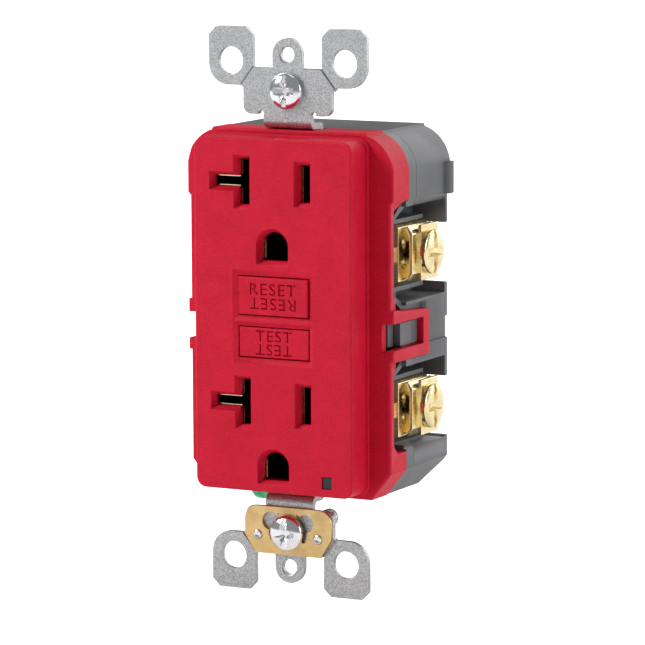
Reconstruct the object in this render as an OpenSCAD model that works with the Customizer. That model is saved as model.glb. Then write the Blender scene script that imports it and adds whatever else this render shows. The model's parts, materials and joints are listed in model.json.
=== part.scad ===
// Ground-fault duplex receptacle, 20 A pattern, with self-grounding yoke.
// X is the width, +Y goes back into the wall box, Z is the long axis.
// Y = 0 is the front of the yoke; the origin is midway between its screws.

/* [Body] */
// Height of the cover flange
body_h = 68.8; // [64:0.1:84]
// Width across the cover flange beside the terminals
body_w = 42.2; // [40:0.1:54]
// Depth of the body behind the front of the yoke
body_depth = 25.2; // [25:0.1:34]
// Height of the raised face that fills a wall plate opening
face_h = 66.4; // [62:0.1:66.6]
// Width of the raised face
face_w = 33; // [32.6:0.1:36]
// How far the raised face stands in front of the yoke
face_proud = 6.3; // [5.5:0.1:9]
// Wall thickness of the moulded shells
wall = 1.7; // [1.2:0.1:2]
// Y of the seam between cover and middle frame
cover_seam_y = 7.2; // [7:0.1:7.6]
// Y of the seam between middle frame and rear housing
rear_seam_y = 10.55; // [10.3:0.05:10.6]
// Gap left at each moulded seam
seam_gap = 0.1; // [0.05:0.01:0.15]

/* [Outlets] */
// Distance between the upper and the lower outlet
outlet_pitch = 41.45; // [40:0.05:42]
// Height of the middle of the two blade slot rows
outlet_mid_z = 4.3; // [4:0.05:4.6]
// Distance between the two blade slots
blade_pitch = 12.7; // [12.5:0.05:13]
// Drop from the blade slots to the ground hole
ground_drop = 11.9; // [11.7:0.05:12]
// Width of a blade slot at its narrow end
slot_w = 2.1; // [1.8:0.05:2.6]
// Height of the hot slot at its narrow end
hot_slot_h = 7; // [6.4:0.1:8.4]
// Height of the neutral slot at its narrow end
neutral_slot_h = 8.6; // [8:0.1:9]
// Reach of the sideways arm of the neutral slot
tee_reach = 6.2; // [5.5:0.1:6.6]
// Width of the ground hole at its narrow end
ground_hole_w = 5.4; // [5.1:0.1:5.8]
// Widening of every opening at the face
lead_in = 0.72; // [0.4:0.01:0.8]
// Depth of the widened mouth
lead_depth = 1.2; // [0.6:0.1:1.3]

/* [Buttons] */
// Width of both push buttons
button_w = 14.6; // [12:0.1:14.8]
// Height of the reset button
reset_h = 7.1; // [6.4:0.1:7.2]
// Height of the middle of the reset button
reset_z = 3.75; // [3.7:0.05:3.8]
// Height of the test button
test_h = 5.6; // [5:0.1:5.8]
// Height of the middle of the test button
test_z = -5; // [-5.1:0.05:-4.9]
// Gap round each button
button_gap = 0.22; // [0.15:0.01:0.3]
// How far the reset button sits below the face
reset_sink = 0.15; // [0:0.05:0.4]
// How far the test button sits below the face
test_sink = 0.5; // [0.3:0.05:0.7]
// Inward travel of the reset button
reset_travel = 2.2; // [1.5:0.1:2.4]
// Inward travel of the test button
test_travel = 1.6; // [1:0.1:1.7]

/* [Yoke] */
// Thickness of the yoke strip
yoke_t = 1.2; // [1:0.05:1.3]
// Box screw centres beyond the ends of the body
screw_offset = 7.27; // [7:0.01:8]
// Wall plate screw holes beyond the box screws
plate_screw_step = 6.75; // [6.5:0.05:7]
// Ends of the plaster ears beyond the box screws
ear_step = 11.73; // [11:0.01:12.5]
// Half the width across the plaster ears
ear_reach = 16.58; // [16:0.01:17.5]
// Inner edge of each plaster ear from the middle
ear_inner = 7.23; // [7:0.01:7.6]
// Diameter of the hole in each plaster ear
ear_hole_d = 5.2; // [4.5:0.1:5.6]
// Sideways position of the ear holes
ear_hole_x = 11.92; // [11.7:0.01:12.2]
// Width of the middle of the yoke's ends
yoke_end_w = 18.6; // [18:0.1:19.4]
// Width of the strip that runs through the body
yoke_strip_w = 10; // [9:0.1:10.6]
// Y of the front of the strip inside the body
strip_y = 3.8; // [3.6:0.1:4]
// Diameter of the tapped wall plate holes
plate_hole_d = 2.9; // [2.7:0.05:3.2]
// Thickness of the self-grounding clip
clip_t = 0.7; // [0.5:0.05:0.9]

/* [Screws] */
// Thread diameter of the box screws
box_screw_d = 3.5; // [3:0.05:4.2]
// Shank length of the box screws behind the yoke
box_screw_len = 19; // [16:0.5:24]
// Head diameter of the box screws
box_head_d = 6.9; // [6.5:0.1:7.4]
// Head height of the box screws
box_head_h = 2.1; // [1.8:0.1:2.4]
// Thread diameter of the terminal screws
term_screw_d = 4.1; // [3.8:0.05:5]
// Head diameter of the terminal screws
term_head_d = 8.4; // [8:0.1:9]
// Radial clearance of a screw in what it turns in
screw_clear = 0.05; // [0.02:0.01:0.09]

/* [Terminals] */
// Distance between the two terminals of a side
term_pitch = 29.4; // [29:0.1:30]
// Height of the middle of the two terminals
term_mid_z = -3.8; // [-4:0.1:-3.6]
// Y of the terminal screws
term_y = 17.4; // [17:0.1:17.8]
// Height of a terminal plate
term_plate_h = 11.4; // [11:0.1:11.8]
// Thickness of the terminal brass
brass_t = 1.1; // [0.9:0.05:1.2]
// Outward travel of a clamp as its screw is loosened
clamp_travel = 2; // [1.5:0.1:2.3]

/* [Working parts] */
// Outer radius of the sensing cores
core_r = 8.5; // [7.5:0.1:8.6]
// Thickness of each sensing core
core_t = 3.4; // [2.8:0.1:3.5]
// Radius of the reset plunger
plunger_r = 1.2; // [1.1:0.01:1.3]
// Thickness of the circuit board
board_t = 1.6; // [1.2:0.1:1.7]
// Radius of the solenoid core
armature_r = 2; // [1.8:0.05:2.2]
// Radial clearance of the sliding cores and pins
slide_clear = 0.06; // [0.03:0.01:0.09]

/* [Hidden] */
$fn = 48;
eps = 0.01;
half_w = body_w / 2;
half_h = body_h / 2;
face_y = -face_proud;
flange_y = 0.5;
face_t = 1.8;
frame_y0 = cover_seam_y + seam_gap;
rear_y0 = rear_seam_y + seam_gap / 2;
frame_y1 = rear_y0 - seam_gap;
floor_y = body_depth - 1.6;
board_y = floor_y - 0.3 - board_t;
inner_x = half_w - wall;
inner_z = half_h - wall;
// corner blocks that stand out beside the upper end
ear_block_x = half_w + 0.6;
ear_block_z = [half_h - 12.6, half_h - 6.4];
corner_r = 7.9;
outlets_z = [for (s = [1, -1]) outlet_mid_z + s * outlet_pitch / 2];
blade_x = blade_pitch / 2;
terms_z = [for (s = [1, -1]) term_mid_z + s * term_pitch / 2];
upper = 0;
lower = 1;
// side bays: full height at the side, shorter notch through the back
bay_x = half_w - 6.8;
bay_wall = 1.2;
// depth of the cover's edge beside a bay
bay_lip = 1.5;
bays_z = [[2.4, terms_z[upper] + 9.4], [terms_z[lower] - 6.9, -9.7]];
notch_half = 5.7;
notch_drop = 0.9;
back_strip = 1.3;
// snap tab in the middle of each side
tab_z = [-8.2, 1.5];
tab_window_z = [-6.0, -0.95];
tab_back_y = 15.7;
tab_bar = 2.4;
tab_t = 1.5;
tab_x = half_w + 0.6 - tab_t;
tooth_z = [tab_window_z[0] + 0.35, tab_window_z[1] - 0.45];
// terminal stack, outwards from the middle
plate_x = half_w - 3.7;
plate_y = [term_y - 8.3, term_y + 4.2];
nest_y1 = term_y + 2.4;
clamp_x = plate_x + brass_t + 0.25;
clamp_bow = 1.55;
clamp_t = 0.65;
washer_t = 0.6;
clamp_y = [term_y - 6, term_y + 3.9];
washer_y0 = term_y - 3.4;
head_x = clamp_x + clamp_bow + washer_t + 0.02;
head_t = 1.5;
// yoke ends
box_screw_z = half_h + screw_offset;
plate_screw_z = box_screw_z + plate_screw_step;
ear_z = box_screw_z + ear_step;
ear_hole_z = box_screw_z + 5.37;
ear_low_z = box_screw_z + 0.79;
yoke_low_z = box_screw_z - 4.5;
joggle_z = [half_h + 0.15, half_h + 0.15 + yoke_t];
lobe_r = 3.1;
yoke_shoulder_z = box_screw_z + 4.25;
box_hole_r = box_screw_d / 2 + 0.45;
clip_screw_y = -clip_t;
retainer_t = 0.8;
// thin neck that the retaining washers turn on, so the thread can't pass them
box_neck_d = box_screw_d - 0.6;
box_neck = yoke_t + retainer_t + clip_t + 0.3;
clip_open_r = box_head_d / 2 + 0.55;
// ground screw, at the lower left end of the body
ground_screw_y = 12;
ground_screw_z = -half_h + 0.3;
ground_tab_x = [-11, -9.8];
ground_pocket_x = [-15.2, -6.2];
ground_screw_len = 4.4;
ground_pocket_y = 16.9;
ground_pocket_z = -half_h + 5.2;
// contacts behind the face
contact_t = 0.5;
contact_y0 = face_y + face_t + 0.3;
contact_web_y = [2.2, 3];
blade_grip = 0.8;
bus_x = [9.4, 11];
pad_y = 12.1;
// trip mechanism
arm_y = [pad_y + 0.8, pad_y + 1.3];
arm_pivot_z = -9.2;
block_y = [13.6, 19.5];
latch_y = [15.9, 16.7];
latch_offset = 0.5;
leaf_y = [strip_y + yoke_t + 1.4, strip_y + yoke_t + 1.7];
leaf_root_z = -13.6;
latch_top_z = 10.5;
neck_r = 0.8;
solenoid_y = (latch_y[0] + latch_y[1]) / 2;
bobbin_z = [13.2, 27.4];
frame_t = 0.9;
bobbin_half = 5;
core_z = -19.7;
core_case_r = core_r + 1;
core_in_r = 4.2;
core_y0 = 12.5;
lens_pos = [11.2, -face_h / 2 + 2.7];
lens_size = [1.95, 2.2];

red = [0.78, 0.06, 0.14];
dark_grey = [0.27, 0.28, 0.3];
steel = [0.7, 0.71, 0.72];
bright_steel = [0.85, 0.86, 0.88];
brass = [0.82, 0.66, 0.32];
silver = [0.8, 0.8, 0.78];
copper = [0.72, 0.42, 0.22];
black = [0.08, 0.08, 0.09];
green = [0.1, 0.5, 0.28];

// ---------------------------------------------------------------- helpers

// A flat outline in X and Z, made solid from y0 to y1.
module slab(y0, y1) translate([0, y1, 0]) rotate([90, 0, 0]) linear_extrude(y1 - y0) children();

// A flat outline in Y and Z, made solid from x0 to x1.
module slab_x(x0, x1) translate([x0, 0, 0]) rotate([90, 0, 90]) linear_extrude(x1 - x0) children();

// A box between its limits on X, Y and Z.
module block(x, y, z) translate([x[0], y[0], z[0]]) cube([x[1] - x[0], y[1] - y[0], z[1] - z[0]]);

// A round bar along Y at a place in X and Z.
module rod_y(r, y0, y1, at = [0, 0]) translate([at[0], y0, at[1]]) rotate([-90, 0, 0]) cylinder(r = r, h = y1 - y0);

// A round bar along X at a place in Y and Z.
module rod_x(r, x0, x1, at = [0, 0]) translate([x0, at[0], at[1]]) rotate([0, 90, 0]) cylinder(r = r, h = x1 - x0);

module both_sides() {
    children();
    mirror([1, 0, 0]) children();
}

module both_ends() {
    children();
    mirror([0, 0, 1]) children();
}

// Points along an arc, in degrees.
function arc(c, r, a0, a1, n = 8) =
    [for (i = [0:n]) let (a = a0 + (a1 - a0) * i / n) [c[0] + r * cos(a), c[1] + r * sin(a)]];

function flipped(points) = [for (i = [len(points) - 1:-1:0]) [-points[i][0], points[i][1]]];

// A rectangle with round corners, centred on a point.
module round_rect(w, h, r, at = [0, 0]) translate(at) {
    square([w - 2 * r, h], center = true);
    square([w, h - 2 * r], center = true);
    for (x = [-1, 1], z = [-1, 1]) translate([x * (w / 2 - r), z * (h / 2 - r)]) circle(r);
}

// A mouth that narrows from the face inwards: two crossed wedges.
module funnel(at, w, h, grow, y0, depth) {
    x = [at[0] - w / 2, at[0] + w / 2];
    z = [at[1] - h / 2, at[1] + h / 2];
    intersection() {
        translate([0, 0, z[0] - grow]) linear_extrude(h + 2 * grow)
            polygon([[x[0] - grow, y0], [x[1] + grow, y0], [x[1], y0 + depth], [x[0], y0 + depth]]);
        slab_x(x[0] - grow, x[1] + grow)
            polygon([[y0, z[0] - grow], [y0 + depth, z[0]], [y0 + depth, z[1]], [y0, z[1] + grow]]);
    }
}

// A round wire wound round an axis along Y, as one closed solid.
module coil_spring(r, wire_r, y0, y1, turns, at = [0, 0]) {
    sides = 8;
    rings = turns * 16;
    points = [for (i = [0:rings], k = [0:sides - 1])
        let (t = 360 * turns * i / rings, a = 360 * k / sides, d = r + wire_r * cos(a))
        [at[0] + d * cos(t), y0 + wire_r + (y1 - y0 - 2 * wire_r) * i / rings + wire_r * sin(a), at[1] + d * sin(t)]];
    skin = [for (i = [0:rings - 1], k = [0:sides - 1])
        let (n = (k + 1) % sides)
        [i * sides + k, i * sides + n, (i + 1) * sides + n, (i + 1) * sides + k]];
    first = [for (k = [sides - 1:-1:0]) k];
    last = [for (k = [0:sides - 1]) rings * sides + k];
    polyhedron(points, concat([first], skin, [last]));
}

// ---------------------------------------------------------------- moulded shells

// Outline of the moulded body: rounded above, chamfered below, inset all round.
function body_points(inset) =
    let (
        c = [ear_block_x - 7.8, half_h - 8],
        r = corner_r - inset,
        side = half_w - inset,
        block_side = ear_block_x - inset,
        top = half_h - inset,
        cut = inset * 0.41,
        a0 = asin((c[1] < 0 ? 0 : 1.25) / corner_r),
        right = concat(
            [[17 - cut, -top], [side, -half_h + 5.2 + cut], [side, ear_block_z[0] - 0.6],
             [block_side, ear_block_z[0]]],
            [for (p = arc(c, r, a0, 72.5)) [min(p[0], block_side), p[1]]],
            [[16.2 - cut, top]])
    )
    concat(right, flipped(right));

module body_outline(inset = 0) polygon(body_points(inset));

// The openings of one outlet through the face.
module outlet_cuts(z) {
    deep = face_t + 1;
    hot = [blade_x, z];
    neutral = [-blade_x, z];
    arm = [-blade_x - tee_reach / 2 + slot_w / 4, z];
    arm_w = tee_reach + slot_w / 2;
    for (c = [[hot, slot_w, hot_slot_h], [neutral, slot_w, neutral_slot_h], [arm, arm_w, slot_w]]) {
        slab(face_y - eps, face_y + deep) translate(c[0]) square([c[1], c[2]], center = true);
        funnel(c[0], c[1], c[2], lead_in, face_y - eps, lead_depth);
    }
    ground = [0, z - ground_drop];
    r = ground_hole_w / 2;
    rod_y(r, face_y - eps, face_y + deep, ground);
    block([-r, r], [face_y - eps, face_y + deep], [ground[1] - r, ground[1]]);
    // the mouth: a cone over the round half, a wedge under it
    intersection() {
        translate([0, face_y - eps, ground[1]]) rotate([-90, 0, 0])
            cylinder(r1 = r + lead_in, r2 = r, h = lead_depth);
        block([-r - 1, r + 1], [face_y - 1, face_y + 3], [ground[1], ground[1] + r + 1]);
    }
    funnel([0, ground[1] - r / 2], 2 * r, r, lead_in, face_y - eps, lead_depth);
}

// Bevelled recess and openings that take the two buttons.
module button_cuts() {
    recess_z = [test_z - test_h / 2 - 1.05, reset_z + reset_h / 2 + 1];
    mid = (recess_z[0] + recess_z[1]) / 2;
    funnel([0, mid], 15.2, recess_z[1] - recess_z[0] - 1.4, 0.7, face_y - eps, 0.45);
    for (b = [[reset_z, reset_h], [test_z, test_h]])
        slab(face_y - eps, face_y + face_t + 1) translate([0, b[0]])
            square([button_w + 2 * button_gap, b[1] + 2 * button_gap], center = true);
}

// Side wall cut away beside the terminals, as an outline in Y and Z.
module bay_side_cut(z) polygon([
    [flange_y + bay_lip, z[0] + 1.4], [flange_y + 3, z[0] - 0.3], [cover_seam_y + 1, z[0] - 0.3],
    [cover_seam_y + 1, z[1] + 1.6], [cover_seam_y, z[1] + 1.6], [flange_y + bay_lip + 0.3, z[1] - 0.2],
    [flange_y + bay_lip, z[1] - 0.4]
]);

module front_cover() color(red) {
    difference() {
        union() {
            slab(flange_y, cover_seam_y) body_outline();
            // small bead round the foot of the raised face
            slab(-0.3, flange_y + eps) round_rect(face_w + 0.9, face_h + 0.5, 2.2);
            slab(face_y, flange_y + eps) round_rect(face_w, face_h, 2);
        }
        // hollow behind the face and behind the flange
        slab(face_y + face_t, flange_y + wall) round_rect(face_w - 2 * wall, face_h - 2 * wall, 1);
        slab(flange_y + wall, cover_seam_y + eps) body_outline(wall);
        both_sides() {
            for (z = bays_z) slab_x(inner_x - 2.4, ear_block_x + 1) bay_side_cut(z);
            // notch in front of each snap tab, through to its window
            block([half_w - 1.8, ear_block_x + 1], [flange_y - eps, cover_seam_y + 1], [-6.35, -0.9]);
            block([inner_x - eps, ear_block_x + 1], [flange_y + 2.2, cover_seam_y + 1],
                  [tab_z[0] - 1.4, tab_z[1] + 1.2]);
        }
        outlet_cuts(outlets_z[upper]);
        outlet_cuts(outlets_z[lower]);
        button_cuts();
        slab(face_y - eps, face_y + face_t + eps) translate(lens_pos)
            square([lens_size[0] + 0.1, lens_size[1] + 0.1], center = true);
        // slots in both ends for the yoke, and a pocket for its ground tab
        both_ends() block([-yoke_strip_w / 2 - 0.3, yoke_strip_w / 2 + 0.3],
                          [strip_y - 0.2, cover_seam_y + eps], [inner_z - 0.5, half_h + 1]);
    }
    both_sides() snap_tab();
}

// U-shaped tab that reaches back over the middle of the side.
module snap_tab() {
    slab_x(tab_x, tab_x + tab_t) difference() {
        polygon([[flange_y, tab_z[0]], [tab_back_y, tab_z[0]], [tab_back_y, tab_z[1] - 1.2], [flange_y, tab_z[1]]]);
        translate([flange_y - 1, tab_window_z[0]])
            square([tab_back_y - tab_bar - flange_y + 1, tab_window_z[1] - tab_window_z[0]]);
    }
    // roots of the two arms, joined to the flange
    for (z = [[tab_z[0], tab_window_z[0] - 0.4], [tab_window_z[1] + 0.1, tab_z[1]]])
        block([inner_x - 0.4, half_w + 0.6], [flange_y, flange_y + 2.2], z);
}

module button_cap(z, h, sink, leg_r, leg_y) {
    y = face_y + sink;
    back = face_y + face_t;
    slab(y, back + 0.1) translate([0, z]) square([button_w, h], center = true);
    slab(back + 0.1, back + 1) translate([0, z])
        square([button_w + 1.2, h + (leg_r > 1 ? 0.6 : 0.5)], center = true);
    rod_y(leg_r, back + 1 - eps, leg_y, [0, z]);
}

module reset_button() color(red) difference() {
    button_cap(reset_z, reset_h, reset_sink, plunger_r + 0.6, strip_y - reset_travel - 0.1);
    rod_y(plunger_r, face_y + 1.5, strip_y, [0, reset_z]);
}

// Its leg passes the yoke; the collar round the leg stops it there.
module test_button() color(red) {
    button_cap(test_z, test_h, test_sink, 0.9, strip_y + yoke_t + 1.35);
    rod_y(1.8, face_y + face_t + 1 - eps, strip_y - test_travel - 0.1, [0, test_z]);
}

// Dark window in the face, with a slimmer light pipe behind it.
module indicator_lens() color(black) {
    slab(face_y + 0.3, face_y + face_t) translate(lens_pos) square(lens_size, center = true);
    slab(face_y + face_t - eps, pad_y) translate([lens_pos[0], lens_pos[1] + 0.3]) square(1.4, center = true);
}

// Ledges and wings that nest one terminal plate, drawn on the +X side.
module terminal_nest(z) {
    reach = term_plate_h / 2 + 0.25;
    for (s = [-1, 1]) {
        ledge = s > 0 ? [reach, reach + 0.8] : [-reach - 0.8, -reach];
        block([inner_x - 5, plate_x + 1], [s > 0 ? 2.3 : 3.3, nest_y1], [z + ledge[0], z + ledge[1]]);
    }
}

// Slanted wing between a ledge and the neighbouring corner block.
module nest_wing(z, dir) slab_x(inner_x - 3.4, half_w - tab_t + 0.5) {
    reach = term_plate_h / 2 + 1.05;
    polygon([[2.3, z + dir * reach], [3.4, z + dir * reach], [frame_y1, z + dir * (reach + 3.4)],
             [frame_y0, z + dir * (reach + 3.4)]]);
}

module middle_frame() color(dark_grey) difference() {
    union() {
        // rim that shows between cover and rear housing
        difference() {
            slab(frame_y0, frame_y1) body_outline(0.1);
            slab(frame_y0 - 1, frame_y1 + 1) body_outline(wall + 1.6);
            both_sides() {
                for (z = bays_z) block([bay_x - 0.6, ear_block_x + 1], [frame_y0 - 1, frame_y1 + 1], z);
                block([tab_x - 0.1, ear_block_x + 1], [frame_y0 - 1, frame_y1 + 1], [tab_z[0] - 0.3, tab_z[1] + 0.3]);
            }
        }
        // partition under the yoke strip
        slab(frame_y0, frame_y0 + 1.5) square([2 * (bay_x - 0.4), 2 * inner_z - 1.2], center = true);
        both_sides() {
            for (z = terms_z) terminal_nest(z);
            nest_wing(terms_z[upper], 1);
            nest_wing(terms_z[lower], 1);
            nest_wing(terms_z[upper], -1);
            // webs that carry the nests
            for (z = terms_z, s = [-1, 1]) block([bay_x - 1, half_w - 3.6], [frame_y0, frame_y0 + 1.5],
                [z + s * (term_plate_h / 2 + 0.65) - 0.4, z + s * (term_plate_h / 2 + 0.65) + 0.4]);
            // joins the lower nests to the rim under them
            block([inner_x - 5, half_w - 0.6], [frame_y0, frame_y1],
                  [bays_z[lower][0] - 1, terms_z[lower] - term_plate_h / 2 - 0.5]);
            // walls behind the terminal plates
            for (z = bays_z) block([plate_x - 1.2, plate_x - 0.1], [contact_web_y[1] + 0.1, frame_y1], z);
            // post and tooth that the snap tab hooks over
            block([inner_x - 3, inner_x], [flange_y + 2.3, 5], tooth_z);
            block([inner_x - 3, half_w - 0.5], [5.6, frame_y1], tooth_z);
            block([inner_x - 3, inner_x - 1.5], [4.9, 5.7], tooth_z);
        }
        // seat for the root of the test leaf
        block([-1.6, 1.6], [leaf_y[1] + 0.05, frame_y0 + eps], [leaf_root_z - 0.6, leaf_root_z + 0.1]);
        // tenons that back the yoke strip at both ends
        both_ends() block([-4.9, 4.9], [strip_y + yoke_t + 0.1, frame_y0 + eps], [inner_z - 1.2, half_h - 0.5]);
    }
    // windows for the plunger, the test leaf and the contact buses
    rod_y(plunger_r + 0.4, frame_y0 - 1, frame_y1, [0, reset_z]);
    block([-2.3, 2.3], [frame_y0 - 1, frame_y1], [-12.2, -2.6]);
    both_sides() block([bus_x[0] - 0.3, bus_x[1] + 0.3], [frame_y0 - 1, frame_y1], [-0.3, 7.8]);
    block([lens_pos[0] - 1.3, lens_pos[0] + 1.3], [frame_y0 - 1, frame_y1 + 1],
          [lens_pos[1] - 1.4, lens_pos[1] + 1.4]);
    // windows for the bars from the lower terminals
    both_sides() block([plate_x - 2, plate_x + 1], [frame_y0 + 1.55, frame_y0 + 2.65], [core_z - 1.15, core_z + 1.15]);
    ground_pocket(0);
}

// Space for the ground screw and its tab at the lower left.
module ground_pocket(grow) block(
    [ground_pocket_x[0] - grow, ground_pocket_x[1] + grow], [cover_seam_y - 1, ground_pocket_y + grow],
    [-half_h - 6, ground_pocket_z + grow]);

module rear_bays(grow) both_sides() for (i = [upper, lower]) {
    z = bays_z[i];
    notch_mid = terms_z[i] - notch_drop;
    block([bay_x - grow, ear_block_x + 2], [rear_y0 - 1, body_depth - back_strip + grow], [z[0] - grow, z[1] + grow]);
    block([bay_x - grow, ear_block_x + 2], [rear_y0 - 1, body_depth + 1],
          [max(notch_mid - notch_half, z[0]) - grow, min(notch_mid + notch_half, z[1]) + grow]);
}

// What the slanted lower back edge takes away, moved forwards by a shift.
module back_slope(shift) slab_x(-half_w - 1, half_w + 1) translate([-shift, 0]) polygon([
    [body_depth - 4.5, -half_h - 1], [body_depth - 4.5, -half_h + 0.1], [body_depth + 0.1, -half_h + 4.6],
    [body_depth + 4, -half_h + 4.6], [body_depth + 4, -half_h - 1]]);

module rear_housing() color(dark_grey) difference() {
    union() {
        slab(rear_y0, body_depth) body_outline(0.1);
        // raised rib near the back of the upper corners
        both_sides() block([half_w - 1, ear_block_x + 0.7], [body_depth - 2.2, body_depth], [half_h - 13.1, half_h - 7]);
    }
    difference() {
        slab(rear_y0 - eps, floor_y) body_outline(wall + 0.1);
        rear_bays(bay_wall);
        ground_pocket(bay_wall);
        back_slope(wall * 1.4);
    }
    rear_bays(0);
    ground_pocket(0);
    both_sides() {
        // groove between the bays, and room for the snap tab
        block([half_w - 0.5, ear_block_x + 1], [tab_back_y, body_depth + 1], [-6.3, -2.2]);
        difference() {
            block([tab_x - 0.2, ear_block_x + 1], [rear_y0 - 1, tab_back_y + 0.2], [tab_z[0] - 0.3, tab_z[1] + 0.3]);
            block([tab_x - 1, half_w - 0.5], [rear_y0 - 2, tab_back_y - tab_bar - 0.6], tooth_z);
        }
    }
    back_slope(0);
}

// ---------------------------------------------------------------- yoke

// One end of the yoke as a flat outline: lobe, shoulders, ears and field.
module yoke_end_outline() {
    half = yoke_end_w / 2;
    polygon(concat(
        [[-half + 1.5, yoke_low_z], [half - 1.5, yoke_low_z]],
        arc([half - 1.5, yoke_low_z + 1.5], 1.5, -90, 0, 5),
        [[half, ear_low_z - 0.4], [half + 0.6, ear_low_z], [12.58, ear_low_z]],
        arc([ear_reach - 4, ear_low_z + 4], 4, -90, 0),
        [[ear_reach, ear_z - 1.5], [ear_reach - 1.5, ear_z], [ear_inner + 1.5, ear_z],
         [ear_inner, ear_z - 1.5], [ear_inner, yoke_shoulder_z + 0.1], [ear_inner - 0.2, yoke_shoulder_z],
         [lobe_r, yoke_shoulder_z]],
        arc([0, plate_screw_z], lobe_r, 0, 180, 16),
        [[-lobe_r, yoke_shoulder_z], [-ear_inner + 0.2, yoke_shoulder_z], [-ear_inner, yoke_shoulder_z + 0.1],
         [-ear_inner, ear_z - 1.5], [-ear_inner - 1.5, ear_z], [-ear_reach + 1.5, ear_z], [-ear_reach, ear_z - 1.5]],
        arc([-ear_reach + 4, ear_low_z + 4], 4, 180, 270),
        [[-12.58, ear_low_z], [-half - 0.6, ear_low_z], [-half, ear_low_z - 0.4]],
        arc([-half + 1.5, yoke_low_z + 1.5], 1.5, 180, 270, 5)
    ));
}

module yoke_end() {
    difference() {
        slab(0, yoke_t) yoke_end_outline();
        rod_y(box_hole_r, -1, yoke_t + 1, [0, box_screw_z]);
        rod_y(plate_hole_d / 2, -1, yoke_t + 1, [0, plate_screw_z]);
        translate([0, -eps, plate_screw_z]) rotate([-90, 0, 0])
            cylinder(r1 = plate_hole_d / 2 + 0.25, r2 = plate_hole_d / 2, h = 0.25);
        both_sides() {
            rod_y(ear_hole_d / 2, -1, yoke_t + 1, [ear_hole_x, ear_hole_z]);
            // relief beside the root of the strip
            rod_y(0.55, -1, yoke_t + 1, [yoke_strip_w / 2 + 0.5, yoke_low_z + 0.1]);
            // score lines on both faces where the ear breaks off
            translate([(ear_inner + yoke_end_w / 2 + 0.6) / 2, 0, (yoke_shoulder_z + ear_low_z) / 2])
                rotate([0, -37.7, 0]) {
                    cube([0.3, 0.7, 5.6], center = true);
                    translate([0, yoke_t, 0]) cube([0.25, 0.4, 5.6], center = true);
                }
        }
    }
    // bend that takes the strip back and down into the body
    half = yoke_strip_w / 2;
    slab_x(-half, half) polygon(concat(
        [[0, yoke_low_z + eps], [yoke_t, yoke_low_z + eps]],
        [[yoke_t, joggle_z[1] + 0.5], [yoke_t + 0.5, joggle_z[1]], [strip_y + yoke_t - 1.2, joggle_z[1]]],
        arc([strip_y + yoke_t - 1.2, joggle_z[1] - 1.2], 1.2, 90, 0, 5),
        [[strip_y + yoke_t, inner_z - 4], [strip_y, inner_z - 4], [strip_y, joggle_z[0]],
         [1.6, joggle_z[0]]],
        arc([1.6, joggle_z[0] + 1.6], 1.6, 270, 180, 5)
    ));
}

module mounting_yoke() color(steel) {
    both_ends() yoke_end();
    half = yoke_strip_w / 2;
    difference() {
        block([-half, half], [strip_y, strip_y + yoke_t], [-inner_z + 3.5, inner_z - 3.5]);
        rod_y(plunger_r + 0.3, strip_y - 1, strip_y + yoke_t + 1, [0, reset_z]);
        rod_y(1.3, strip_y - 1, strip_y + yoke_t + 1, [0, test_z]);
    }
    // tab for the ground screw
    block([ground_tab_x[0], -half + eps], [strip_y, strip_y + yoke_t], [ground_pocket_z + 0.4, ground_pocket_z + 3.2]);
    difference() {
        slab_x(ground_tab_x[0], ground_tab_x[1]) {
            translate([strip_y, ground_pocket_z - 2.6]) square([ground_screw_y + 3.6 - strip_y, 2.6]);
            translate([ground_screw_y - 3.6, -half_h - 1.7]) square([7.2, ground_pocket_z + half_h + 1.7]);
        }
        rod_x(term_screw_d / 2 + screw_clear, ground_tab_x[0] - 1, ground_tab_x[1] + 1, [ground_screw_y, ground_screw_z]);
    }
    block([ground_tab_x[0], ground_tab_x[1]], [strip_y, strip_y + yoke_t], [ground_pocket_z - 1, ground_pocket_z + 3.2]);
}

// Brass clip riveted over the lower end, which bears on the screw thread.
module grounding_clip() color(brass) difference() {
    z0 = -box_screw_z;
    slab(-clip_t, 0) polygon(concat(
        [[-6.95, z0 - 4.35], [6.95, z0 - 4.35], [9.2, z0 - 0.8], [9.2, z0 + 2.2]],
        arc([6.6, z0 + 2.2], 2.6, 0, 90, 6),
        arc([-6.6, z0 + 2.2], 2.6, 90, 180, 6),
        [[-9.2, z0 - 0.8]]));
    rod_y(box_hole_r, -2, 1, [0, z0]);
    both_sides() rod_y(0.9, -2, 1, [6.4, z0 - 0.81]);
    // wide opening with two ears, and the finger between them that bears on the screw
    difference() {
        union() {
            both_sides() rod_y(1.7, -2, 1, [3.7, z0 + 1.95]);
            intersection() {
                rod_y(clip_open_r, -2, 1, [0, z0]);
                block([-6, 6], [-2, 1], [z0 - 1.7, z0 + 6]);
            }
        }
        block([-1.8, 1.8], [-3, 2], [z0 + box_screw_d / 2 + 0.1, z0 + 7]);
    }
}

module clip_rivets() color(bright_steel) both_sides() {
    rod_y(0.9, -clip_t, 0, [6.4, -box_screw_z - 0.81]);
    rod_y(0.85, -clip_t - 0.25, -clip_t + eps, [6.4, -box_screw_z - 0.81]);
}

module screw_retainers() color(black) both_ends() difference() {
    rod_y(4.2, yoke_t, yoke_t + retainer_t, [0, box_screw_z]);
    rod_y(box_neck_d / 2 + screw_clear, yoke_t - 1, yoke_t + 2, [0, box_screw_z]);
}

// Cross and slot sunk in a screw head that faces -Y at the origin.
module driver_recess(r, depth) {
    translate([-0.55, -eps, -r - 1]) cube([1.1, depth * 0.6, 2 * r + 2]);
    for (a = [0, 90]) rotate([0, a, 0]) translate([-r * 0.5, -eps, -0.45]) cube([r, depth, 0.9]);
}

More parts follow.
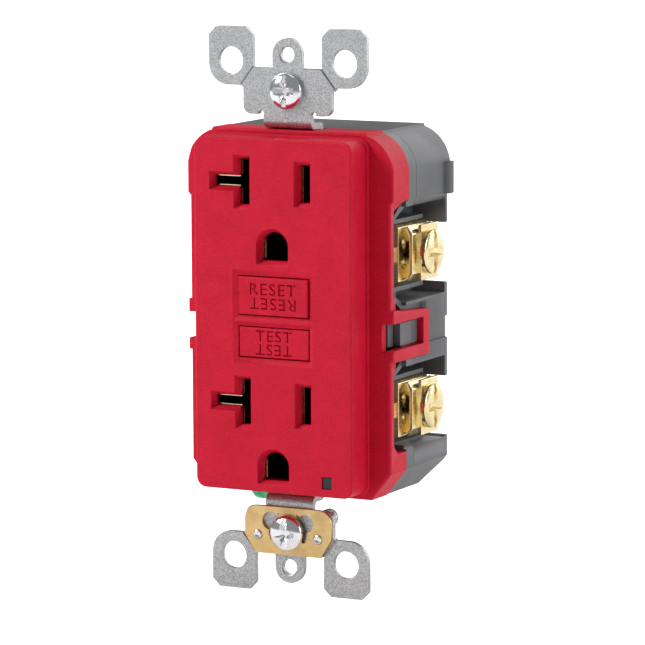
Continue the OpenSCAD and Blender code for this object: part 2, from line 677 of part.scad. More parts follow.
// Screw with a low domed head, facing -Y, head underside at y = 0. The neck, where it has
// one, is thinner than the thread behind it.
module domed_screw(d, len, head_d, head_h, rim = 0.6, neck_d = 0, neck = 0) difference() {
    r = head_d / 2;
    rotate([-90, 0, 0]) rotate_extrude() polygon(concat(
        [[0, -head_h]],
        [for (i = [1:6]) let (a = 15 * i) [r * sin(a) , -head_h + (head_h - rim) * (1 - cos(a))]],
        [[r, 0]],
        neck > 0 ? [[neck_d / 2, 0], [neck_d / 2, neck], [d / 2, neck + 0.2]] : [[d / 2, 0]],
        [[d / 2, len - 0.6], [d / 2 - 0.6, len], [0, len]]
    ));
    translate([0, -head_h, 0]) driver_recess(r, head_h * 0.75);
}

module box_screw_upper() color(bright_steel)
    translate([0, -0.02, box_screw_z])
        domed_screw(box_screw_d, box_screw_len, box_head_d, box_head_h, 0.6, box_neck_d, box_neck);

module box_screw_lower() color(bright_steel)
    translate([0, clip_screw_y - 0.02, -box_screw_z])
        domed_screw(box_screw_d, box_screw_len, box_head_d, box_head_h, 0.6, box_neck_d, box_neck);

module ground_screw() color(green)
    translate([ground_tab_x[0] - 0.05, ground_screw_y, ground_screw_z]) rotate([0, 0, -90])
        domed_screw(term_screw_d, ground_screw_len, 8, 2.8);

// ---------------------------------------------------------------- terminals

// Places a piece drawn on the +X side at one of the four terminals.
module at_terminal(row, hot) mirror([hot ? 0 : 1, 0, 0]) translate([0, 0, terms_z[row]]) children();

// Brass plate whose upper and lower edges are bent back, with a tongue to the contacts.
module terminal_plate() difference() {
    half = term_plate_h / 2;
    union() {
        translate([0, plate_y[0], 0]) rotate([-90, 0, 0]) linear_extrude(plate_y[1] - plate_y[0]) polygon([
            [plate_x, -half], [plate_x + 0.5, -half], [plate_x + brass_t, -half + 0.65],
            [plate_x + brass_t, half - 0.65], [plate_x + 0.5, half], [plate_x, half]]);
        block([plate_x, plate_x + 0.5], [contact_web_y[0], plate_y[0] + eps], [-1.5, 1.5]);
    }
    rod_x(term_screw_d / 2 + screw_clear, plate_x - 1, plate_x + 2 * brass_t, [term_y, 0]);
    // two dimples that grip the wires
    for (z = [-1.9, 1.9]) rod_x(1, plate_x + brass_t - 0.45, plate_x + 2 * brass_t, [plate_y[0] + 2.2, z]);
}

// Bowed clamp with its upper and lower edges turned inwards, and the square washer on it.
module wire_clamp() difference() {
    half = term_plate_h / 2 - 0.45;
    outer = clamp_x + clamp_bow;
    inner = outer - clamp_t;
    union() {
        translate([0, clamp_y[0], 0]) rotate([-90, 0, 0]) linear_extrude(clamp_y[1] - clamp_y[0]) polygon([
            [outer, -half + 1.5], [outer, half - 1.5], [clamp_x + 0.5, half], [clamp_x, half - 0.5],
            [inner, half - 1.9], [inner, -half + 1.9], [clamp_x, -half + 0.5], [clamp_x + 0.5, -half]]);
        block([outer - 0.1, outer + washer_t], [washer_y0, clamp_y[1]], [-half, half]);
    }
    rod_x(term_screw_d / 2 + screw_clear, clamp_x - 1, outer + washer_t + 1, [term_y, 0]);
}

// Long enough to stay in its plate with the clamp right out.
module terminal_screw() translate([head_x, term_y, 0]) rotate([0, 0, 90])
    domed_screw(term_screw_d, head_x - plate_x + clamp_travel + 0.7, term_head_d, head_t, 1.3);

module terminal_plate_upper_hot() color(brass) at_terminal(upper, true) terminal_plate();
module terminal_plate_lower_hot() color(brass) at_terminal(lower, true) terminal_plate();
module terminal_plate_upper_neutral() color(silver) at_terminal(upper, false) terminal_plate();
module terminal_plate_lower_neutral() color(silver) at_terminal(lower, false) terminal_plate();
module wire_clamp_upper_hot() color(brass) at_terminal(upper, true) wire_clamp();
module wire_clamp_lower_hot() color(brass) at_terminal(lower, true) wire_clamp();
module wire_clamp_upper_neutral() color(silver) at_terminal(upper, false) wire_clamp();
module wire_clamp_lower_neutral() color(silver) at_terminal(lower, false) wire_clamp();
module terminal_screw_upper_hot() color(brass) at_terminal(upper, true) terminal_screw();
module terminal_screw_lower_hot() color(brass) at_terminal(lower, true) terminal_screw();
module terminal_screw_upper_neutral() color(silver) at_terminal(upper, false) terminal_screw();
module terminal_screw_lower_neutral() color(silver) at_terminal(lower, false) terminal_screw();

// ---------------------------------------------------------------- contacts

// Two leaves that grip a blade standing in Z, one on each side in X.
module blade_grips(z, h) for (s = [-1, 1]) {
    x = s * (blade_grip + contact_t / 2);
    block([x - contact_t / 2, x + contact_t / 2], [contact_y0, contact_web_y[1]], [z - h / 2, z + h / 2]);
}

// Strip behind the face that joins both outlets, drawn on the +X side.
module contact_bus() {
    far = outlets_z[upper] + 4;
    near = outlets_z[lower] - 4;
    for (z = outlets_z) block([blade_x - blade_grip - contact_t, bus_x[1]], contact_web_y, [z - 4, z + 4]);
    block(bus_x, contact_web_y, [near, far]);
    // branch to the upper terminal, and post to the fixed contact
    block([bus_x[0], plate_x], contact_web_y, [terms_z[upper] - 1.5, terms_z[upper] + 1.5]);
    block(bus_x, [contact_web_y[0], pad_y - 1.3], [0.4, 1.2]);
    block(bus_x, [pad_y - 1.3, pad_y - 0.6], [0.4, 7]);
    rod_y(0.75, pad_y - 0.6 - eps, pad_y, [(bus_x[0] + bus_x[1]) / 2, 5.6]);
}

module hot_contact_strip() color(brass) {
    contact_bus();
    for (z = outlets_z) translate([blade_x, 0, 0]) blade_grips(z, hot_slot_h);
}

module neutral_contact_strip() color(brass) {
    mirror([1, 0, 0]) contact_bus();
    reach = tee_reach - blade_grip - contact_t;
    for (z = outlets_z) {
        difference() {
            translate([-blade_x, 0, 0]) blade_grips(z, neutral_slot_h);
            // the outer leaf opens for a sideways blade
            block([-blade_x - 2, -blade_x - blade_grip + eps], [contact_y0 - 1, contact_web_y[0]], [z - 1.4, z + 1.4]);
        }
        for (s = [-1, 1]) let (zc = z + s * (blade_grip + contact_t / 2))
            block([-blade_x - blade_grip - contact_t - reach, -blade_x - blade_grip - contact_t],
                  [contact_y0, contact_web_y[1]], [zc - contact_t / 2, zc + contact_t / 2]);
    }
}

// Channel that grips the ground pin, standing on the yoke strip.
module ground_contact(z) {
    grip = ground_hole_w / 2 - 0.4;
    for (s = [-1, 1]) let (x = s * (grip + 0.3))
        block([x - 0.3, x + 0.3], [contact_y0, strip_y], [z - 2.3, z + 2.3]);
    block([-grip - 0.6, grip + 0.6], [strip_y - 0.6, strip_y], [z - 3, z + 3]);
}

module ground_contact_upper() color(brass) ground_contact(outlets_z[upper] - ground_drop);
module ground_contact_lower() color(brass) ground_contact(outlets_z[lower] - ground_drop);

// ---------------------------------------------------------------- trip mechanism

// Pin under the reset button: guide, thin neck, and a tapered catch.
module reset_plunger() color(bright_steel) translate([0, 0, reset_z]) rotate([-90, 0, 0]) rotate_extrude() polygon([
    [0, face_y + 1.5], [plunger_r, face_y + 1.5], [plunger_r, latch_y[0] - reset_travel - 0.7],
    [neck_r, latch_y[0] - reset_travel - 0.5],
    [neck_r, latch_y[1] + 0.1], [plunger_r, latch_y[1] + 1.3], [plunger_r, latch_y[1] + 1.8],
    [0.5, latch_y[1] + 2.6], [0, latch_y[1] + 2.6]]);

module reset_spring() color(bright_steel)
    coil_spring(plunger_r + 0.95, 0.25, face_y + face_t + 1.05, strip_y - 0.05, 6, [0, reset_z]);

// Thin leaf pressed by the leg of the test button.
module test_leaf() color(copper)
    block([-1.6, 1.6], leaf_y, [leaf_root_z - 0.4, test_z + 1.4]);

module latch_block() color(black) difference() {
    union() {
        block([-5.5, 5.5], block_y, [reset_z - 4.2, reset_z + 4.2]);
        block([-bus_x[1] - 0.2, bus_x[1] + 0.2], [arm_y[1] + 0.05, 15.2], [reset_z - 1.5, reset_z + 1.5]);
    }
    rod_y(plunger_r + slide_clear + 0.1, block_y[0] - 1, block_y[1] + 1, [0, reset_z]);
    block([-3.4, 3.4], [latch_y[0] - 0.08, latch_y[1] + 0.08], [reset_z - 6, reset_z + 6]);
}

module latch_plate() color(steel) difference() {
    block([-3.3, 3.3], latch_y, [-3.4, latch_top_z]);
    rod_y(plunger_r + 0.15, latch_y[0] - 1, latch_y[1] + 1, [0, reset_z + latch_offset - 0.02]);
}

// Moving contact: leaf hinged at its lower end, drawn on the +X side.
module contact_arm() {
    block(bus_x, arm_y, [arm_pivot_z - 0.5, 6.8]);
    rod_y(0.75, pad_y + 0.02, arm_y[0] + eps, [(bus_x[0] + bus_x[1]) / 2, 5.6]);
}

module hot_contact_arm() color(copper) contact_arm();
module neutral_contact_arm() color(copper) mirror([1, 0, 0]) contact_arm();
module arm_posts() color(brass) both_sides()
    block(bus_x, [arm_y[1] + 0.1, board_y], [arm_pivot_z - 0.4, arm_pivot_z + 0.4]);

module solenoid_frame() color(steel) difference() {
    top = bobbin_z[1] + 0.05;
    union() {
        block([-bobbin_half, bobbin_half], [12.4, board_y - 0.1], [bobbin_z[0] - 0.05 - frame_t, bobbin_z[0] - 0.05]);
        block([-bobbin_half, bobbin_half], [12.4, board_y - 0.1], [top, top + frame_t]);
        block([-bobbin_half, bobbin_half], [board_y - 0.8, board_y - 0.1], [bobbin_z[0] - 0.1, top + 0.1]);
    }
    translate([0, solenoid_y, bobbin_z[0] - 3]) cylinder(r = 1.2, h = 5);
}

module solenoid_bobbin() color(black) translate([0, solenoid_y, 0]) difference() {
    union() {
        for (z = [bobbin_z[0], bobbin_z[1] - 0.7])
            block([-bobbin_half, bobbin_half], [12.6 - solenoid_y, board_y - 0.85 - solenoid_y], [z, z + 0.7]);
        translate([0, 0, bobbin_z[0]]) cylinder(r = armature_r + slide_clear + 0.5, h = bobbin_z[1] - bobbin_z[0]);
    }
    translate([0, 0, bobbin_z[0] - 1]) cylinder(r = armature_r + slide_clear, h = bobbin_z[1] - bobbin_z[0] + 2);
}

module solenoid_coil() color(copper) translate([0, solenoid_y, bobbin_z[0] + 0.7]) difference() {
    cylinder(r = 4, h = bobbin_z[1] - bobbin_z[0] - 1.4);
    translate([0, 0, -1]) cylinder(r = armature_r + slide_clear + 0.5, h = 20);
}

// Sliding core with a thin pin that strikes the latch plate.
module solenoid_armature() color(bright_steel) translate([0, solenoid_y, 0]) {
    translate([0, 0, latch_top_z + 0.05]) cylinder(r = 0.9, h = 7);
    translate([0, 0, bobbin_z[0] + 4]) cylinder(r = armature_r, h = 8.6);
}

module armature_spring() color(bright_steel) translate([0, solenoid_y, bobbin_z[0] + 0.05]) rotate([90, 0, 0])
    coil_spring(1.5, 0.2, 0, 3.9, 5);

module circuit_board() color([0.1, 0.35, 0.2])
    block([-bay_x + bay_wall + 0.6, bay_x - bay_wall - 0.6], [board_y, board_y + board_t], [-half_h + 6.9, half_h - 4]);

// ---------------------------------------------------------------- sensing cores

module core_case() color(black) translate([0, 0, core_z]) difference() {
    rod_y(core_case_r, core_y0 - 0.6, board_y - 0.1);
    difference() {
        rod_y(core_case_r - 0.6, core_y0, board_y);
        rod_y(core_in_r - 0.5, core_y0 - 1, board_y);
    }
    rod_y(core_in_r - 1.1, core_y0 - 2, board_y + 1);
}

module sensing_core(y) color(copper) translate([0, 0, core_z]) difference() {
    rod_y(core_r, y, y + core_t);
    rod_y(core_in_r, y - 1, y + core_t + 1);
}

module fault_core() sensing_core(core_y0 + 0.2);
module neutral_core() sensing_core(core_y0 + 0.6 + core_t);

// Bar from the lower terminal, through the cores, to the board.
module line_conductor() {
    y = [frame_y0 + 1.7, frame_y0 + 2.5];
    block([0.9, plate_x], y, [core_z - 1, core_z + 1]);
    block([0.9, 2.3], [y[0], board_y - 0.05], [core_z - 1, core_z + 1]);
}

module hot_line_conductor() color(copper) line_conductor();
module neutral_line_conductor() color(silver) mirror([1, 0, 0]) line_conductor();

// ---------------------------------------------------------------- board parts

module surge_suppressor() color([0.1, 0.25, 0.55]) {
    rod_x(4, 7.2, 10.4, [board_y - 5.5, 23]);
    for (z = [21.5, 24.5]) rod_y(0.35, board_y - 2.2, board_y, [8.8, z]);
}

module capacitor() color([0.12, 0.12, 0.14]) {
    rod_y(3, 12.6, board_y - 0.3, [-9.2, 23]);
    for (z = [22, 24]) rod_y(0.3, board_y - 0.4, board_y, [-9.2, z]);
}

module control_chip() color(black) block([-10.4, -6.4], [board_y - 1.5, board_y], [-6, -1]);

module test_resistor() color([0.75, 0.65, 0.45]) {
    translate([8.4, board_y - 1.2, -6]) cylinder(r = 0.95, h = 5);
    for (z = [-5.4, -1.6]) rod_y(0.25, board_y - 0.6, board_y, [8.4, z]);
}

module indicator_led() color([0.8, 0.95, 0.8]) {
    rod_y(1.4, pad_y + 0.3, pad_y + 4, lens_pos);
    for (x = [-0.6, 0.6]) rod_y(0.25, pad_y + 3.9, board_y, [lens_pos[0] + x, lens_pos[1]]);
}

front_cover();
reset_button();
test_button();
indicator_lens();
middle_frame();
rear_housing();
mounting_yoke();
grounding_clip();
clip_rivets();
screw_retainers();
box_screw_upper();
box_screw_lower();
ground_screw();
terminal_plate_upper_hot();
terminal_plate_lower_hot();
terminal_plate_upper_neutral();
terminal_plate_lower_neutral();
wire_clamp_upper_hot();
wire_clamp_lower_hot();
wire_clamp_upper_neutral();
wire_clamp_lower_neutral();
terminal_screw_upper_hot();
terminal_screw_lower_hot();
terminal_screw_upper_neutral();
terminal_screw_lower_neutral();
hot_contact_strip();
neutral_contact_strip();
ground_contact_upper();
ground_contact_lower();
reset_plunger();
reset_spring();
test_leaf();
latch_block();
latch_plate();
hot_contact_arm();
neutral_contact_arm();
arm_posts();
solenoid_frame();
solenoid_bobbin();
solenoid_coil();
solenoid_armature();
armature_spring();
circuit_board();
core_case();
fault_core();
neutral_core();
hot_line_conductor();
neutral_line_conductor();
surge_suppressor();
capacitor();
control_chip();
test_resistor();
indicator_led();
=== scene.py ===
"""The looks of a ground-fault duplex receptacle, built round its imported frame.

X is the width, +Y goes back into the wall box and Z is the long axis. Shapes
are worked out in millimetres and become metres when a piece is finished.
"""

from __future__ import annotations

import json
import logging
import math
from collections.abc import Callable
from dataclasses import dataclass, field
from enum import Enum

import bmesh
import bpy
from bmesh.types import BMesh
from mathutils import Matrix, Vector


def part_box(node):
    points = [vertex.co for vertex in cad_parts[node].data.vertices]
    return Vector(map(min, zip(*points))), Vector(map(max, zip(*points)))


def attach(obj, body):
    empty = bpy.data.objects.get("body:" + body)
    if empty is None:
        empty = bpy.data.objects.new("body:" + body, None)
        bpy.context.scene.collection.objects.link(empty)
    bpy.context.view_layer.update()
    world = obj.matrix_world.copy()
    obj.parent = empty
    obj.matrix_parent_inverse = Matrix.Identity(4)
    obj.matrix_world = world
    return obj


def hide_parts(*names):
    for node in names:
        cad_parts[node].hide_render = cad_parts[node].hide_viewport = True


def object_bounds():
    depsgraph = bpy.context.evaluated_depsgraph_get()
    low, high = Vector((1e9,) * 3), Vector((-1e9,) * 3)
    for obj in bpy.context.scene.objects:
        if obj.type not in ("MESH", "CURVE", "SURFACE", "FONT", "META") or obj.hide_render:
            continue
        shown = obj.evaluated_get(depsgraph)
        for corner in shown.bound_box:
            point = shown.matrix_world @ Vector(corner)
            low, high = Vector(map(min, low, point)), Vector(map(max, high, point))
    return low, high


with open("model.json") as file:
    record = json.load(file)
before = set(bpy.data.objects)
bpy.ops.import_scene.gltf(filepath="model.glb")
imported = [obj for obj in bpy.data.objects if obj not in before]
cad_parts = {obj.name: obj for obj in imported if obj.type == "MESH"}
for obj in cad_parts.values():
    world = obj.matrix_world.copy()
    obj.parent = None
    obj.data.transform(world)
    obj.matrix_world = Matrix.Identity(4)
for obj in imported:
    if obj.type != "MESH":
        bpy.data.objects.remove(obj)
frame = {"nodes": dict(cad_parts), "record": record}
CAD_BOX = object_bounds()

LOG = logging.getLogger("receptacle")
MM = 0.001
FULL_TURN = 2 * math.pi
# Points this near a plane, in millimetres, count as lying in it.
NEAR = 0.03

Colour = tuple[float, float, float]
EdgeTest = Callable[[Vector, Vector], bool]


# ------------------------------------------------------------------ frame


def body_names() -> dict[str, str]:
    """Finds the name of the body that each CAD node rides on."""
    bodies = frame["record"]["behaviour"]["bodies"]
    return {node: body for body, nodes in bodies.items() for node in nodes}


BODY_OF = body_names()


def node_box(node: str) -> tuple[Vector, Vector]:
    """Gives a CAD node's lowest and highest corners, in millimetres."""
    low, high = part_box(node)
    return low / MM, high / MM


# ------------------------------------------------------------------ shapes


def cad_copy(node: str) -> BMesh:
    """Copies a CAD node's mesh with its corners merged and its flats joined.

    Args:
        node: The CAD node's name.

    Returns:
        The copy, in millimetres.
    """
    bm = bmesh.new()
    bm.from_mesh(frame["nodes"][node].data)
    bmesh.ops.scale(bm, vec=Vector((1, 1, 1)) / MM, verts=bm.verts)
    bmesh.ops.remove_doubles(bm, verts=bm.verts, dist=0.0008)
    bmesh.ops.dissolve_limit(
        bm, angle_limit=math.radians(0.5), verts=bm.verts, edges=bm.edges
    )
    return bm


@dataclass(frozen=True)
class EdgeRule:
    """A set of sharp outer edges that is rounded.

    Attributes:
        radius: How far the rounding reaches from the edge, in millimetres.
        where: Tells from an edge's two ends whether it belongs to the set.
        segments: Number of facets round the edge.
        sharper_than: Least angle between the two faces, in degrees.
    """

    radius: float
    where: EdgeTest
    segments: int = 3
    sharper_than: float = 35.0

    def apply(self, bm: BMesh) -> None:
        """Rounds the set's edges.

        Args:
            bm: The mesh, in millimetres.
        """
        least = math.radians(self.sharper_than)
        edges = [
            edge
            for edge in bm.edges
            if len(edge.link_faces) == 2
            and edge.is_convex
            and edge.calc_face_angle(0) > least
            and self.where(edge.verts[0].co, edge.verts[1].co)
        ]
        if not edges:
            LOG.warning("a rule of %.2f mm met no edge", self.radius)
            return
        bmesh.ops.bevel(
            bm,
            geom=edges,
            offset=self.radius,
            offset_type="OFFSET",
            affect="EDGES",
            segments=self.segments,
            profile=0.5,
            material=-1,
            clamp_overlap=False,
            loop_slide=True,
        )


def anywhere(_start: Vector, _end: Vector) -> bool:
    """Takes every sharp edge of a part."""
    return True


def level(start: Vector, end: Vector, y: float) -> bool:
    """Tells whether an edge lies at a given Y."""
    return abs(start.y - y) < NEAR and abs(end.y - y) < NEAR


def carve(bm: BMesh, cutters: list[BMesh]) -> BMesh:
    """Cuts closed shapes out of a mesh.

    Args:
        bm: The mesh that is cut; it is freed.
        cutters: The closed shapes; they are freed.

    Returns:
        What is left.
    """
    made: list[bpy.types.Object] = []

    def temporary(source: BMesh) -> bpy.types.Object:
        """Wraps a mesh in an object for as long as the cut lasts."""
        mesh = bpy.data.meshes.new("cutting")
        source.to_mesh(mesh)
        source.free()
        thing = bpy.data.objects.new("cutting", mesh)
        bpy.context.scene.collection.objects.link(thing)
        made.append(thing)
        return thing

    target = temporary(bm)
    for cutter in cutters:
        cut = target.modifiers.new("cut", "BOOLEAN")
        cut.operation = "DIFFERENCE"
        cut.solver = "EXACT"
        cut.object = temporary(cutter)
    bpy.context.view_layer.update()
    graph = bpy.context.evaluated_depsgraph_get()
    result = bmesh.new()
    result.from_mesh(target.evaluated_get(graph).to_mesh())
    target.evaluated_get(graph).to_mesh_clear()
    for thing in made:
        mesh = thing.data
        bpy.data.objects.remove(thing)
        bpy.data.meshes.remove(mesh)
    return result


def join_into(bm: BMesh, other: BMesh) -> None:
    """Adds another mesh to a mesh.

    Args:
        bm: The mesh that grows.
        other: The mesh that is added; it is freed.
    """
    mesh = bpy.data.meshes.new("joining")
    other.to_mesh(mesh)
    other.free()
    bm.from_mesh(mesh)
    bpy.data.meshes.remove(mesh)


def lathe(profile: list[tuple[float, float]], steps: int = 48) -> BMesh:
    """Turns a profile round the Y axis.

    Args:
        profile: Radius and Y of each point, from the axis back to the axis.
        steps: Number of steps in the turn.

    Returns:
        The closed shape.
    """
    bm = bmesh.new()
    verts = [bm.verts.new((radius, y, 0)) for radius, y in profile]
    edges = [bm.edges.new(pair) for pair in zip(verts, verts[1:])]
    bmesh.ops.spin(
        bm,
        geom=verts + edges,
        cent=(0, 0, 0),
        axis=(0, 1, 0),
        angle=FULL_TURN,
        steps=steps,
        use_merge=True,
    )
    bmesh.ops.remove_doubles(bm, verts=bm.verts, dist=0.0005)
    bmesh.ops.recalc_face_normals(bm, faces=bm.faces)
    return bm


def thread_ridge(
    outer: float, core: float, pitch: float, start: float, end: float
) -> BMesh:
    """Winds the ridge of a screw thread round the Y axis.

    Args:
        outer: Radius at the crest.
        core: Radius at the root, a little inside the screw's core.
        pitch: Distance between two turns.
        start: Y where the ridge begins.
        end: Y where the ridge ends.

    Returns:
        The ridge as a closed shape.
    """
    steps_per_turn = 24
    turns = (end - start) / pitch
    steps = int(turns * steps_per_turn)
    half = pitch * 0.46
    crest = pitch * 0.07
    bm = bmesh.new()
    section = [(core, -half), (outer, -crest), (outer, crest), (core, half)]
    verts = [bm.verts.new((radius, start + y, 0)) for radius, y in section]
    face = bm.faces.new(verts)
    bmesh.ops.spin(
        bm,
        geom=[face, *face.edges, *verts],
        cent=(0, 0, 0),
        axis=(0, 1, 0),
        dvec=(0, pitch / steps_per_turn, 0),
        angle=FULL_TURN * steps / steps_per_turn,
        steps=steps,
        use_merge=False,
    )
    bmesh.ops.recalc_face_normals(bm, faces=bm.faces)
    return bm


def tapered_block(top: Vector, bottom: Vector, y0: float, y1: float) -> BMesh:
    """Makes a block along Y whose two ends differ in size.

    Args:
        top: Half sizes on X and Z at y0, as a vector's x and z.
        bottom: Half sizes on X and Z at y1.
        y0: Y of the first end.
        y1: Y of the second end.

    Returns:
        The closed block.
    """
    bm = bmesh.new()
    bmesh.ops.create_cube(bm, size=2)
    for vert in bm.verts:
        size = top if vert.co.y < 0 else bottom
        vert.co = Vector(
            (vert.co.x * size.x, y0 if vert.co.y < 0 else y1, vert.co.z * size.z)
        )
    return bm


def moved(bm: BMesh, matrix: Matrix) -> BMesh:
    """Moves a whole mesh by a matrix and hands it back."""
    bmesh.ops.transform(bm, matrix=matrix, verts=bm.verts)
    return bm


def word(text: str, width: float, height: float, depth: float) -> BMesh:
    """Makes a word as a closed shape that faces -Y, centred on the origin.

    Args:
        text: The word.
        width: Its width.
        height: Its height.
        depth: How deep the shape is.

    Returns:
        The closed shape.
    """
    curve = bpy.data.curves.new("word", "FONT")
    curve.body = text
    curve.extrude = 0.5
    curve.resolution_u = 3
    curve.space_character = 1.12
    holder = bpy.data.objects.new("word", curve)
    bpy.context.scene.collection.objects.link(holder)
    bpy.context.view_layer.update()
    graph = bpy.context.evaluated_depsgraph_get()
    bm = bmesh.new()
    bm.from_mesh(holder.evaluated_get(graph).to_mesh())
    holder.evaluated_get(graph).to_mesh_clear()
    bpy.data.objects.remove(holder)
    bpy.data.curves.remove(curve)
    bmesh.ops.remove_doubles(bm, verts=bm.verts, dist=1e-5)
    low = Vector([min(v.co[i] for v in bm.verts) for i in range(3)])
    high = Vector([max(v.co[i] for v in bm.verts) for i in range(3)])
    size = high - low
    bmesh.ops.translate(bm, vec=-(low + high) / 2, verts=bm.verts)
    bmesh.ops.scale(
        bm, vec=(width / size.x, height / size.y, depth / size.z), verts=bm.verts
    )
    moved(bm, Matrix.Rotation(math.radians(90), 4, "X"))
    bmesh.ops.recalc_face_normals(bm, faces=bm.faces)
    return bm


def finish_piece(
    bm: BMesh,
    name: str,
    finish: "Finish",
    nodes: list[str],
    smooth_below: float = 32.0,
) -> bpy.types.Object:
    """Turns a mesh into a finished piece that stands for CAD nodes.

    Args:
        bm: The mesh, in millimetres; it is freed.
        name: The piece's name.
        finish: Its finish.
        nodes: The CAD nodes that it stands for; the first gives the body.
        smooth_below: Faces that meet under a smaller angle shade as one, in degrees.

    Returns:
        The piece, at the origin.
    """
    bmesh.ops.scale(bm, vec=(MM, MM, MM), verts=bm.verts)
    mesh = bpy.data.meshes.new(name)
    bm.to_mesh(mesh)
    bm.free()
    for polygon in mesh.polygons:
        polygon.use_smooth = True
    mesh.set_sharp_from_angle(angle=math.radians(smooth_below))
    mesh.materials.append(finish.material)
    piece = bpy.data.objects.new(name, mesh)
    bpy.context.scene.collection.objects.link(piece)
    shade = piece.modifiers.new("flat_faces_first", "WEIGHTED_NORMAL")
    shade.mode = "FACE_AREA"
    shade.weight = 100
    shade.keep_sharp = True
    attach(piece, BODY_OF[nodes[0]])
    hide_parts(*nodes)
    LOG.info("%s: %d faces, on %s", name, len(mesh.polygons), BODY_OF[nodes[0]])
    return piece


def dress_node(node: str, finish: "Finish") -> None:
    """Gives a kept CAD node its finish.

    Args:
        node: The CAD node's name.
        finish: The finish.
    """
    thing = frame["nodes"][node]
    thing.data.materials.clear()
    thing.data.materials.append(finish.material)
    LOG.info("%s: kept, in %s", node, finish.material.name)


# ------------------------------------------------------------------ effects


class Tree:
    """A node tree with short ways to add nodes and join them."""

    def __init__(self, tree: bpy.types.NodeTree) -> None:
        """Wraps a node tree."""
        self.tree = tree

    def add(
        self, kind: str, values: dict[str, object] | None = None, **settings: object
    ) -> bpy.types.Node:
        """Adds a node.

        Args:
            kind: The node's class name.
            values: A number, colour or socket for each named input.
            **settings: Properties of the node.

        Returns:
            The node.
        """
        node = self.tree.nodes.new(kind)
        for key, value in settings.items():
            setattr(node, key, value)
        for key, value in (values or {}).items():
            self.feed(node, key, value)
        return node

    def feed(self, node: bpy.types.Node, key: str | int, value: object) -> None:
        """Sets an input, or joins it to a socket.

        Args:
            node: The node.
            key: The input's name or place.
            value: A socket, or a plain value.
        """
        if isinstance(value, bpy.types.NodeSocket):
            self.tree.links.new(value, node.inputs[key])
        else:
            node.inputs[key].default_value = value

    def math(self, operation: str, *values: object) -> bpy.types.NodeSocket:
        """Adds a sum, product or other step between numbers.

        Args:
            operation: The Math node's operation.
            *values: Numbers or sockets.

        Returns:
            The result.
        """
        node = self.add("ShaderNodeMath", operation=operation)
        for place, value in enumerate(values):
            self.feed(node, place, value)
        return node.outputs[0]

    def spread(
        self, value: object, low: float, high: float, to_low: float, to_high: float
    ) -> bpy.types.NodeSocket:
        """Maps a range of values to another, and keeps within it.

        Args:
            value: The socket to map.
            low: Start of its range.
            high: End of its range.
            to_low: What the start becomes.
            to_high: What the end becomes.

        Returns:
            The mapped value.
        """
        values = {
            "Value": value,
            "From Min": low,
            "From Max": high,
            "To Min": to_low,
            "To Max": to_high,
        }
        return self.add("ShaderNodeMapRange", values).outputs[0]

    def mix(self, share: object, first: object, second: object) -> bpy.types.NodeSocket:
        """Mixes two colours.

        Args:
            share: How much of the second colour there is.
            first: A colour or a socket.
            second: A colour or a socket.

        Returns:
            The mixed colour.
        """
        node = self.add("ShaderNodeMix", data_type="RGBA")
        self.feed(node, 0, share)
        self.feed(node, 6, first)
        self.feed(node, 7, second)
        return node.outputs[2]

    def noise(
        self, scale: object, detail: float, vector: object = None, rough: float = 0.55
    ) -> bpy.types.NodeSocket:
        """Adds a noise pattern.

        Args:
            scale: Number of features in a metre.
            detail: Number of finer layers.
            vector: Where it is read, or nothing for the object's own place.
            rough: Strength of the finer layers.

        Returns:
            The pattern, from 0 to 1.
        """
        place = vector if vector is not None else self.place()
        values = {"Vector": place, "Scale": scale, "Detail": detail, "Roughness": rough}
        return self.add("ShaderNodeTexNoise", values).outputs[0]

    def place(self) -> bpy.types.NodeSocket:
        """Gives the place on the object, in metres."""
        return self.add("ShaderNodeTexCoord").outputs["Object"]


class Effect(Enum):
    """The shared effects that more than one finish uses."""

    GRAIN = "moulded_grain"
    FLECKS = "zinc_flecks"
    BRUSHED = "brushed_lines"
    MARKS = "handling_marks"
    EDGES = "polished_edges"


